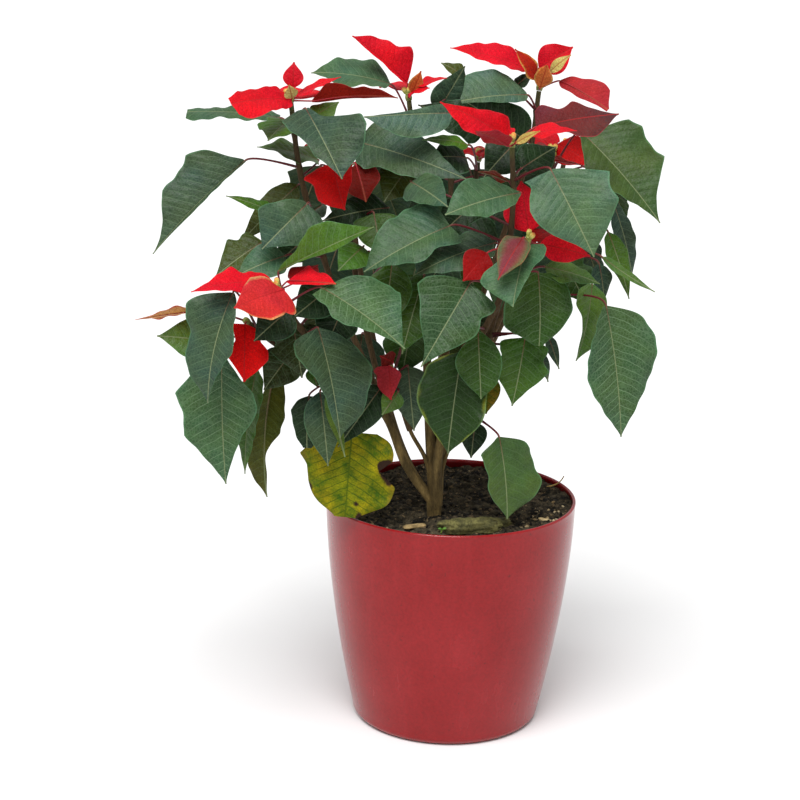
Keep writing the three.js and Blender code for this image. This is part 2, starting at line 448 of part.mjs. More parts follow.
// ---- blades: a leaf or bract is a thin shell on a grid of u (base to tip) and v (side to side)
const outlineStations = [0, 0.06, 0.17, 0.29, 0.43, 0.61, 0.81, 1];
const outlines = {
  plain: [
    [0.07, 0.52, 0.88, 1, 0.96, 0.74, 0.36, 0],
  ],
  lobed: [
    [0.08, 0.66, 1, 0.8, 0.88, 0.7, 0.31, 0],
  ],
  angled: [
    [0.08, 0.7, 0.86, 0.74, 1, 0.7, 0.3, 0],
  ],
  bract: [
    [0.05, 0.4, 0.78, 0.96, 1, 0.8, 0.38, 0],
  ],
  wing: [
    [0.06, 0.3, 0.78, 1, 0.86, 0.76, 0.22, 0],
    [0.06, 0.1, 0.14, 0.16, 0.14, 0.12, 0.06, 0],
  ],
  saddle: [
    [0.22, 0.57, 0.63, 0.58, 0.4, 0.33, 0.14, 0],
    [0.06, 0.1, 0.18, 0.42, 0.88, 0.98, 0.66, 0],
  ],
  swan: [
    [0.6, 0.75, 0.9, 0.96, 0.83, 0.75, 0.45, 0],
    [0.6, 0.75, 0.6, 0.5, 0.65, 0.5, 0.2, 0],
  ],
  fan: [
    [0.4, 0.43, 0.44, 0.57, 0.56, 0.36, 0.1, 0],
    [0.06, 0.31, 0.68, 0.9, 1.06, 1.1, 0.48, 0],
  ],
  maple: [
    [0.06, 0.45, 0.9, 1.06, 0.8, 0.56, 0.16, 0],
    [0.06, 0.64, 0.82, 0.64, 0.74, 0.55, 0.24, 0],
  ],
  cup: [
    [0.05, 0.15, 0.35, 0.55, 0.8, 1.04, 0.86, 0],
    [0.57, 0.68, 0.75, 0.72, 0.5, 0.3, 0.15, 0],
  ],
  shield: [
    [0.62, 0.55, 0.68, 0.8, 0.78, 0.58, 0.22, 0],
    [0.05, 0.3, 0.66, 1.08, 0.94, 0.96, 0.5, 0],
  ],
  sail: [
    [0.09, 0.2, 0.42, 0.62, 0.72, 0.42, 0.14, 0],
    [0.06, 0.34, 0.84, 0.97, 0.92, 0.94, 0.3, 0],
  ],
  drop: [
    [0.1, 0.8, 1.3, 1.3, 1.08, 1.06, 0.66, 0],
    [0.09, 0.31, 0.5, 0.7, 0.86, 0.5, 0.2, 0],
  ],
  mitten: [
    [0.1, 0.8, 1.06, 0.95, 0.6, 0.32, 0.2, 0],
    [0.06, 0.41, 0.85, 1.12, 1.26, 1.05, 0.86, 0],
  ],
  spade: [
    [0.2, 0.5, 0.78, 1.12, 0.9, 0.88, 0.42, 0],
    [0.07, 0.21, 0.47, 0.78, 0.82, 0.48, 0.2, 0],
  ],
  oak: [
    [0.06, 0.5, 0.8, 1, 0.84, 0.78, 0.6, 0.22],
    [0.5, 0.7, 0.85, 0.86, 0.58, 0.95, 0.8, 0.25],
  ],
  tear: [
    [0.06, 0.41, 0.78, 0.88, 0.95, 0.85, 0.46, 0],
    [0.06, 0.34, 0.6, 0.76, 0.82, 0.79, 0.42, 0],
  ],
  pear: [
    [0.06, 0.2, 0.44, 0.7, 0.87, 0.8, 0.43, 0],
    [0.06, 0.22, 0.52, 0.72, 0.82, 0.76, 0.54, 0],
  ],
  disc: [
    [0.3, 0.55, 0.8, 0.95, 1, 1, 0.85, 0.1],
    [0.3, 0.6, 0.78, 0.84, 0.86, 0.76, 0.5, 0.1],
  ],
  paddle: [
    [0.09, 0.28, 0.52, 0.77, 0.9, 0.9, 0.54, 0],
    [0.06, 0.78, 1.14, 1.24, 1.18, 0.92, 0.43, 0],
  ],
  tongue: [
    [0.09, 0.35, 0.84, 0.75, 0.72, 0.75, 0.37, 0],
    [0.06, 0.68, 1, 1.12, 1.22, 1.3, 0.88, 0],
  ],
  slip: [
    [0.06, 0.12, 0.34, 0.68, 0.72, 0.74, 0.46, 0],
    [0.07, 0.17, 0.38, 0.48, 0.5, 0.5, 0.28, 0],
  ],
  flat: [
    [0.3, 0.36, 0.36, 0.3, 0.2, 0.1, 0.06, 0],
    [0.06, 0.5, 0.84, 1, 1.06, 0.98, 0.6, 0],
  ],
  spoon: [
    [0.05, 0.06, 0.08, 0.14, 0.24, 0.32, 0.2, 0],
    [0.06, 0.2, 0.3, 0.5, 0.88, 0.92, 0.42, 0],
  ],
  flag: [
    [0.06, 0.4, 0.9, 0.98, 0.72, 0.68, 0.42, 0],
    [0.1, 0.18, 0.22, 0.22, 0.2, 0.2, 0.1, 0],
  ],
  bell: [
    [0.5, 0.8, 0.9, 0.86, 0.8, 0.8, 0.76, 0.4],
    [0.1, 0.5, 0.7, 0.8, 0.95, 1.1, 1.25, 0.9],
  ],
  sickle: [
    [0.5, 0.9, 0.9, 0.84, 0.66, 0.4, 0.15, 0],
    [0.06, 0.2, 0.42, 0.62, 0.82, 0.9, 0.62, 0],
  ],
  trident: [
    [0.05, 0.2, 0.5, 0.72, 0.8, 0.6, 0.3, 0],
    [0.7, 0.9, 1, 0.84, 0.97, 0.92, 0.52, 0],
  ],
  cleft: [
    [0.5, 0.48, 0.42, 0.35, 0.44, 0.62, 0.28, 0],
    [0.04, 0.35, 0.58, 0.6, 0.87, 0.9, 0.48, 0],
  ],
  heart: [
    [0.67, 0.85, 0.96, 0.76, 0.76, 0.74, 0.46, 0],
    [0.08, 0.27, 0.6, 0.72, 0.62, 0.45, 0.2, 0],
  ],
  ear: [
    [0.07, 0.16, 0.34, 0.52, 0.72, 1.04, 0.8, 0],
    [0.72, 0.9, 0.85, 0.62, 0.9, 0.52, 0.2, 0],
  ],
  hook: [
    [0.3, 0.6, 0.8, 1, 0.85, 0.12, 0.12, 0],
    [0.1, 0.3, 0.5, 0.6, 0.74, 0.96, 1, 0],
  ],
  shell: [
    [0.1, 0.25, 0.42, 0.56, 0.7, 0.78, 0.38, 0],
    [0.46, 0.65, 0.76, 0.79, 0.76, 0.57, 0.27, 0],
  ],
  scarf: [
    [0.3, 0.7, 0.9, 0.8, 0.4, 0.18, 0.12, 0],
    [0.1, 0.5, 0.8, 0.9, 0.9, 0.8, 0.5, 0],
  ],
  oar: [
    [0.1, 0.35, 0.62, 0.8, 0.9, 1, 0.95, 0.1],
    [0.1, 0.25, 0.3, 0.3, 0.3, 0.25, 0.15, 0.1],
  ],
};
const fullStations = [0, 0.17, 0.29, 0.43, 0.61, 0.81, 1];
const someStations = [0, 0.17, 0.43, 0.7, 1];
const fewStations = [0, 0.2, 0.6, 1];
const waveTurns = 1.6;
const waveHeight = 0.1;
const edgeDroop = 0.1;
const bluntTip = 1;
const broadLeafArea = 7200; // width times length, above which a leaf gets every station
const smallLeafArea = 1500; // and below which it gets few
const waveStep = 2.4; // radians from one blade's wave to the next one's
const waveShift = 0.8; // radians between the two margins' waves
const foldEase = 0.3; // how much flatter the fold is at the tip

function halfWidth(form, u, v) {
  const [left, right = left] = outlines[form];
  const shares = v > 0 ? left : right;
  const i = Math.min(outlineStations.findLastIndex((station) => station <= u), shares.length - 2);
  const t = (u - outlineStations[i]) / (outlineStations[i + 1] - outlineStations[i]);
  return shares[i] + (shares[i + 1] - shares[i]) * t;
}

// A row is [base, tip, width, facing, fold in degrees, arch, outline, finish].
function bladeFrame(row, index) {
  const [baseSpot, tipSpot, width, facing, fold, arch, form] = row;
  const base = place(...baseSpot);
  const along = place(...tipSpot).sub(base);
  const length = along.length();
  along.normalize();
  const face = new THREE.Vector3(...facing);
  face.addScaledVector(along, -face.dot(along)).normalize();
  const side = along.clone().cross(face);
  const foldAngle = THREE.MathUtils.degToRad(fold);
  return { base, along, face, side, length, width, foldAngle, arch, form, index };
}

// Along the midrib the blade arches, its halves fold up from the midrib, and its margin
// droops a little and waves.
function bladePoint(blade, u, v) {
  const half = Math.max((blade.width / 2) * halfWidth(blade.form, u, v), bluntTip);
  const reach = Math.abs(v);
  const fold = blade.foldAngle * (1 - foldEase * u);
  const phase = blade.index * waveStep + Math.sign(v) * waveShift;
  const wave = Math.sin(2 * Math.PI * waveTurns * u + phase);
  const rise = reach * half * Math.sin(fold) + half * reach ** 2 * (waveHeight * wave - edgeDroop);
  const arch = blade.arch * blade.length * 4 * u * (1 - u);
  return blade.base.clone()
    .addScaledVector(blade.along, blade.length * u)
    .addScaledVector(blade.face, arch + rise)
    .addScaledVector(blade.side, v * half * Math.cos(fold));
}

// ---- petioles: from a little below the blade's height on the stem, curving into the blade's base
const petioleDrop = 0.3;
const petioleLead = 0.12; // how far the curve's handle reaches back along the midrib
const petioleBow = 0.04;
const bractBow = 0;
const longPetiole = 24; // a leaf's petiole above this length bends once
const petioleFoot = 0.04; // the lowest root, past the fork, and
const petioleTop = 0.93; // the highest, as shares of the stem's route
const petioleSamples = 60;

function petioleRoot(curve, target, from) {
  const samples = curvePoints(curve, from, petioleTop, petioleSamples);
  const closer = (goal) => (best, p) => (p.distanceTo(goal) < best.distanceTo(goal) ? p : best);
  const nearest = (goal) => samples.reduce(closer(goal));
  const reach = nearest(target).distanceTo(target);
  return nearest(target.clone().addScaledVector(upward, -petioleDrop * reach));
}

function petioleCurve(root, blade, bow) {
  const span = root.distanceTo(blade.base);
  const handle = blade.base.clone()
    .addScaledVector(blade.along, -petioleLead * span)
    .addScaledVector(upward, bow * span);
  return new THREE.QuadraticBezierCurve3(root, handle, blade.base);
}

// Four corners round the petiole, turned with the blade: left, top, right, under.
function petioleRing(curve, t, blade, radius) {
  const way = curve.getTangent(t);
  let face = blade.face.clone().addScaledVector(way, -blade.face.dot(way));
  if (face.length() < 0.5) {
    face = blade.side.clone().addScaledVector(way, -blade.side.dot(way)).cross(way);
  }
  face.normalize();
  const side = way.clone().cross(face);
  const middle = curve.getPoint(t);
  return [side.clone().negate(), face, side, face.clone().negate()]
    .map((corner) => middle.clone().addScaledVector(corner, radius));
}

// Left margin, top of the midrib, right margin, underside of the midrib.
function bladeRing(blade, u, thickness) {
  const middle = bladePoint(blade, u, 0);
  return [
    bladePoint(blade, u, -1),
    middle.clone().addScaledVector(blade.face, thickness / 2),
    bladePoint(blade, u, 1),
    middle.clone().addScaledVector(blade.face, -thickness / 2),
  ];
}

function bladeStations(area) {
  if (area > broadLeafArea) {
    return fullStations;
  }
  return area < smallLeafArea ? fewStations : someStations;
}

// A petiole and its blade are one closed solid, four-cornered all the way from root to tip.
function leafSolid(blade, root, radius, bow, grow) {
  const stations = bladeStations(blade.width * blade.length);
  const curve = petioleCurve(root, blade, bow);
  const grown = { ...blade, width: blade.width + 3 * grow };
  const joints = bow > 0 && root.distanceTo(blade.base) > longPetiole ? [0, 0.5] : [0];
  const rings = [
    ...joints.map((t) => petioleRing(curve, t, blade, radius + grow)),
    ...stations.map((u) => bladeRing(grown, u, bladeThickness + 2 * grow)),
  ];
  const triangles = [];
  for (let i = 0; i < rings.length - 1; i += 1) {
    for (let k = 0; k < 4; k += 1) {
      const a = i * 4 + k;
      const b = i * 4 + ((k + 1) % 4);
      if (k % 2 === 0) {
        triangles.push(a, b, b + 4, a, b + 4, a + 4);
      } else {
        triangles.push(a, b, a + 4, b, b + 4, a + 4);
      }
    }
  }
  const tip = (rings.length - 1) * 4;
  triangles.push(0, 2, 1, 0, 3, 2, tip, tip + 1, tip + 2, tip, tip + 2, tip + 3);
  return solid(rings.flat().flatMap((corner) => corner.toArray()), triangles);
}

// ---- the pot: a convex taper with a rounded foot, a thin wall and a small rolled lip
function wallRadius(height) {
  return footRadius + (rimRadius - lipOverhang - footRadius) * (1 - (1 - height / potHeight) ** wallTaper);
}

const fillHeights = [soilLevel - 5, 110, potFloor]; // where the inner wall and the soil bend

function potGeometry() {
  const rimWall = rimRadius - lipOverhang;
  const profile = [new THREE.Vector2(0, 0), new THREE.Vector2(baseRadius, 0)];
  const foot = new THREE.EllipseCurve(
    baseRadius, footRounding, wallRadius(footRounding) - baseRadius, footRounding, -Math.PI / 2, 0);
  profile.push(...foot.getPoints(2).slice(1));
  for (const height of [45, 90, 140, 190]) {
    profile.push(new THREE.Vector2(wallRadius(height), height));
  }
  profile.push(
    new THREE.Vector2(rimWall, potHeight - lipHeight),
    new THREE.Vector2(rimRadius, potHeight - lipHeight + lipBevel),
    new THREE.Vector2(rimRadius, potHeight - lipBevel),
    new THREE.Vector2(rimWall, potHeight));
  for (const height of [potHeight, ...fillHeights]) {
    profile.push(new THREE.Vector2(wallRadius(height) - wallThickness, height));
  }
  profile.push(new THREE.Vector2(0, potFloor));
  return new THREE.LatheGeometry(profile, potSides).rotateX(Math.PI / 2);
}

// ---- the soil: fills the pot, with a gently lumpy top
function soilHeight(x, y) {
  const wide = Math.sin(x / 13 + 1) * Math.cos(y / 11);
  const narrow = Math.sin((x + y) / 7);
  return soilLevel + soilRelief * (0.6 * wide + 0.36 * narrow);
}

function soilGeometry() {
  const fit = seatGap + wallThickness;
  const profile = [new THREE.Vector2(0, potFloor + seatGap)];
  for (const height of fillHeights.toReversed()) {
    const lowest = potFloor + seatGap;
    profile.push(new THREE.Vector2(wallRadius(height) - fit, Math.max(height, lowest)));
  }
  const topRadii = [117, 90, 60, 30, 0];
  profile.push(...topRadii.map((radius) => new THREE.Vector2(radius, soilLevel)));
  const geometry = new THREE.LatheGeometry(profile, potSides).rotateX(Math.PI / 2);
  const spots = geometry.attributes.position;
  for (let i = 0; i < spots.count; i += 1) {
    if (spots.getZ(i) > soilLevel - 0.1) {
      spots.setZ(i, soilHeight(spots.getX(i), spots.getY(i)));
    }
  }
  return geometry;
}

// ---- materials
function material(color, roughness) {
  return new THREE.MeshStandardMaterial({ color, roughness, metalness: 0 });
}

const potPlastic = material('#a53539', 0.2);
const pottingSoil = material('#2b231c', 0.95);
const bark = material('#5d5230', 0.9);
const paleWood = material('#b49467', 0.8);
const woodyStem = material('#6f5638', 0.8);
const leafGreen = material('#3c6146', 0.5);
const bractRed = material('#c1202b', 0.5);
const budGreen = material('#b9b04a', 0.6);

// ---- loose things on the soil: where they lie, their length, width and thickness, turn in degrees
const litter = {
  bark_piece: { at: [24, -88], size: [68, 20, 15], turn: 14, finish: bark },
  wood_chip_left: { at: [-34, -88], size: [26, 9, 3], turn: 24, finish: paleWood },
  wood_chip_right: { at: [92, -52], size: [13, 7, 3], turn: -40, finish: paleWood },
};

const chipLift = 0.3; // share of its thickness that a chip's middle lies above the soil

function chipGeometry(chip, grow) {
  const [length, width, height] = chip.size.map((side) => side + 2 * grow);
  const geometry = new THREE.SphereGeometry(0.5, 6, 3).toNonIndexed();
  geometry.scale(length, width, height).rotateZ(THREE.MathUtils.degToRad(chip.turn));
  const [x, y] = chip.at;
  return geometry.translate(x, y, soilHeight(x, y) + chip.size[2] * chipLift);
}

// ---- the plant's pieces, each with a builder that can make it a little fatter all round
const stumpTop = place(434, 503, -50);
const stumpFoot = place(434, 560, -50);
const stumpSides = 8;
const stemSides = 5;
const stump = (grow) => (
  tube([stumpFoot, stumpTop], [stumpFootRadius + grow, stumpTopRadius + grow], stumpSides));

function stemPiece(curve, from, to, startRadius, endRadius, rings, startGap) {
  const times = Array.from({ length: rings }, (_, i) => from + ((to - from) * i) / (rings - 1));
  const points = times.map((t) => curve.getPoint(t));
  const tangents = times.map((t) => curve.getTangent(t));
  points[0].addScaledVector(tangents[0], startGap);
  const radii = times.map((_, i) => startRadius + ((endRadius - startRadius) * i) / (rings - 1));
  return (grow) => tube(points, radii.map((radius) => radius + grow), stemSides, tangents);
}

let bladeCount = 0;

function shootPieces(shoot) {
  const curve = stemCurve(shoot.stem);
  const fork = (woodPoints - 1) / (shoot.stem.length - 1);
  const tip = curve.getPoint(1);
  const tipWay = curve.getTangent(1);
  const hubFoot = tip.clone().addScaledVector(tipWay, seatGap);
  const hubTop = hubFoot.clone().addScaledVector(tipWay, hubHeight);
  const [woodFoot, woodTop] = [branchFootRadius, branchTopRadius].map((radius) => radius * shoot.girth);
  const wood = [stemPiece(curve, 0, fork, woodFoot, woodTop, 3, 0)];
  const leafy = [stemPiece(curve, fork, 1, shootFootRadius, shootTipRadius, 5, seatGap)];
  for (const row of shoot.leaves) {
    const blade = bladeFrame(row, bladeCount);
    bladeCount += 1;
    const root = petioleRoot(curve, blade.base, fork + petioleFoot);
    leafy.push((grow) => leafSolid(blade, root, leafPetioleRadius, petioleBow, grow));
  }
  const bracts = [];
  if (shoot.bracts.length > 0) {
    bracts.push((grow) => tube([hubFoot, hubTop], [hubRadius + grow, hubRadius + grow], stemSides));
  }
  const hubMiddle = hubFoot.clone().lerp(hubTop, bractSeat);
  for (const row of shoot.bracts) {
    const blade = bladeFrame(row, bladeCount);
    bladeCount += 1;
    bracts.push((grow) => leafSolid(blade, hubMiddle, bractPetioleRadius, bractBow, grow));
  }
  const buds = shoot.buds ? budPieces(hubTop, tipWay, shoot.buds) : [];
  return { wood, leafy, bracts, buds, foot: curve.getPoint(fork), top: tip };
}

const seatHeight = 1.6; // the green seat that carries the buds
const budTurn = 0.5; // radians round the axis to the first bud
const budSpread = 1.4;
const budLean = 0.4;
const budSink = 0.6;
const budProfile = [0.6, 1, 0.45]; // radius at foot, middle and mouth, as shares of budRadius

// Flower buds stand in a ring round the hub's axis, leaning a little outwards.
function budPieces(hubTop, way, count) {
  const foot = hubTop.clone().addScaledVector(way, seatGap);
  const seatTop = foot.clone().addScaledVector(way, seatHeight);
  const pieces = [(grow) => tube([foot, seatTop], [hubRadius + grow, hubRadius + grow], stemSides)];
  const sideways = new THREE.Vector3(1, 0, 0);
  sideways.addScaledVector(way, -sideways.dot(way)).normalize();
  for (let i = 0; i < count; i += 1) {
    const out = sideways.clone().applyAxisAngle(way, (2 * Math.PI * i) / count + budTurn);
    const start = foot.clone().addScaledVector(out, budSpread);
    const lean = way.clone().addScaledVector(out, budLean).normalize();
    const heights = [0, 0.5, 1].map((share) => budSink + budHeight * share);
    const spots = heights.map((height) => start.clone().addScaledVector(lean, height));
    const radii = budProfile.map((share) => share * budRadius);
    pieces.push((grow) => tube(spots, radii.map((radius) => radius + grow), stemSides));
  }
  return pieces;
}

const plant = Object.entries(shoots).map(([name, shoot]) => ({ name, ...shootPieces(shoot) }));

// ---- putting the nodes together
const nodes = [];

function touches(boxA, boxB) {
  return [0, 1, 2].every((k) => boxA.min[k] <= boxB.max[k] && boxB.min[k] <= boxA.max[k]);
}

// A node's pieces are joined in one body, which then keeps seatGap to every earlier node.
// A much twisted petiole can reach out of its own fatter copy, so both are taken away.
function addNode(name, pieces, finish, foot) {
  let body = join(pieces.map((piece) => piece(0)));
  for (const earlier of nodes.filter((node) => touches(node.body.boundingBox(), body.boundingBox()))) {
    for (const piece of earlier.pieces) {
      const fatter = piece(seatGap).add(piece(0));
      if (touches(fatter.boundingBox(), body.boundingBox()) && body.intersect(fatter).volume() > 0) {
        body = body.subtract(fatter);
      }
    }
  }
  nodes.push({ name, pieces, body: mainBody(body), finish, foot });
}

const centre = new THREE.Vector3();
const chips = Object.entries(litter);
for (const [name, chip] of chips) {
  const foot = new THREE.Vector3(...chip.at, soilHeight(...chip.at));
  addNode(name, [(grow) => solidFromGeometry(chipGeometry(chip, grow))], chip.finish, foot);
}
const woods = plant.flatMap((shoot) => shoot.wood);
addNode('trunk', [stump, ...woods], woodyStem, stumpTop);
for (const shoot of plant) {
  addNode(`${shoot.name}_leaves`, shoot.leafy, leafGreen, shoot.foot);
}
for (const shoot of plant.filter((each) => each.bracts.length > 0)) {
  addNode(`${shoot.name}_bracts`, shoot.bracts, bractRed, shoot.top);
}
for (const shoot of plant.filter((each) => each.buds.length > 0)) {
  addNode(`${shoot.name}_buds`, shoot.buds, budGreen, shoot.top);
}
addNode('soil', [() => solidFromGeometry(soilGeometry())], pottingSoil, centre);
addNode('pot', [() => solidFromGeometry(potGeometry())], potPlastic, centre);

// ---- the scene graph: each mesh stands at its own foot
function meshOf(node) {
  const { vertProperties, triVerts } = node.body.getMesh();
  const geometry = new THREE.BufferGeometry();
  geometry.setAttribute('position', new THREE.BufferAttribute(new Float32Array(vertProperties), 3));
  geometry.setIndex(new THREE.BufferAttribute(new Uint32Array(triVerts), 1));
  geometry.translate(-node.foot.x, -node.foot.y, -node.foot.z);
  geometry.computeVertexNormals();
  const mesh = new THREE.Mesh(geometry, node.finish);
  mesh.name = node.name;
  mesh.position.copy(node.foot);
  return mesh;
}

const poinsettia = new THREE.Group();
poinsettia.add(...nodes.map(meshOf));

export default poinsettia;
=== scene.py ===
# A poinsettia in a glossy red pot: woody trunk, leafy shoots, bracts and flower buds, potting soil.
# The layout and the main shapes are the CAD part's own, in millimetres; meshes are made in metres.
import math
import bpy
import numpy as np
from mathutils import Matrix


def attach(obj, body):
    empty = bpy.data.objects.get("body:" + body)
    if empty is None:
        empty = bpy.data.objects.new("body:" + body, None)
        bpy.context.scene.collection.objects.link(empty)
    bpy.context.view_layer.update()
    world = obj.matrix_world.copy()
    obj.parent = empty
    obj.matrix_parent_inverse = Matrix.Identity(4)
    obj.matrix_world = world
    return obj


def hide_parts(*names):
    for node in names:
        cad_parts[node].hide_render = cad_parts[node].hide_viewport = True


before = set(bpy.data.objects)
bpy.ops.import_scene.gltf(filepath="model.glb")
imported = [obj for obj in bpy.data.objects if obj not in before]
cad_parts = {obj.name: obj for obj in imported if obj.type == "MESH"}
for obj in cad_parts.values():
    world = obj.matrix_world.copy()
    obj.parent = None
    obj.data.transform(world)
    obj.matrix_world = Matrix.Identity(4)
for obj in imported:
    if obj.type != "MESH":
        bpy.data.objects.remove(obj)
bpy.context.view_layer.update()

metresPerMm = 0.001
print("frame loaded:", len(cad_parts), "nodes")

# view: the layout sheet stands square to this line of sight, 1 sheet unit = 1 mm on it
view = {
    "sight": (0, -1900, 850),
    "aim": (-53, 0, 327),
    "sheetDistance": 1993,
    "sheetMiddle": 400,
    "tilt": 1.3,
    "sensor": 36,
}

sight = np.array(view["sight"], float)
forward = np.array(view["aim"], float) - sight
forward /= np.linalg.norm(forward)
levelAcross = np.cross(forward, (0, 0, 1))
levelAcross /= np.linalg.norm(levelAcross)
levelUp = np.cross(levelAcross, forward)
tilt = math.radians(view["tilt"])
sheetAcross = math.cos(tilt) * levelAcross + math.sin(tilt) * levelUp
sheetUp = -math.sin(tilt) * levelAcross + math.cos(tilt) * levelUp


def standing(across, up, back, spot=(0, 0, 0)):
    # 4 x 4 matrix whose columns are an object's own x, y and z axes and its place
    turn = np.eye(4)
    turn[:3, 0], turn[:3, 1], turn[:3, 2], turn[:3, 3] = across, up, back, spot
    return Matrix(turn.tolist())


camera = bpy.data.objects.new("camera", bpy.data.cameras.new("camera"))
camera.data.sensor_width = view["sensor"]
camera.data.lens = view["sensor"] * view["sheetDistance"] / (2 * view["sheetMiddle"])
camera.data.clip_end = 100
camera.matrix_world = standing(sheetAcross, sheetUp, -forward, sight * metresPerMm)
bpy.context.scene.collection.objects.link(camera)
bpy.context.scene.camera = camera
bpy.context.scene.view_settings.view_transform = "Standard"

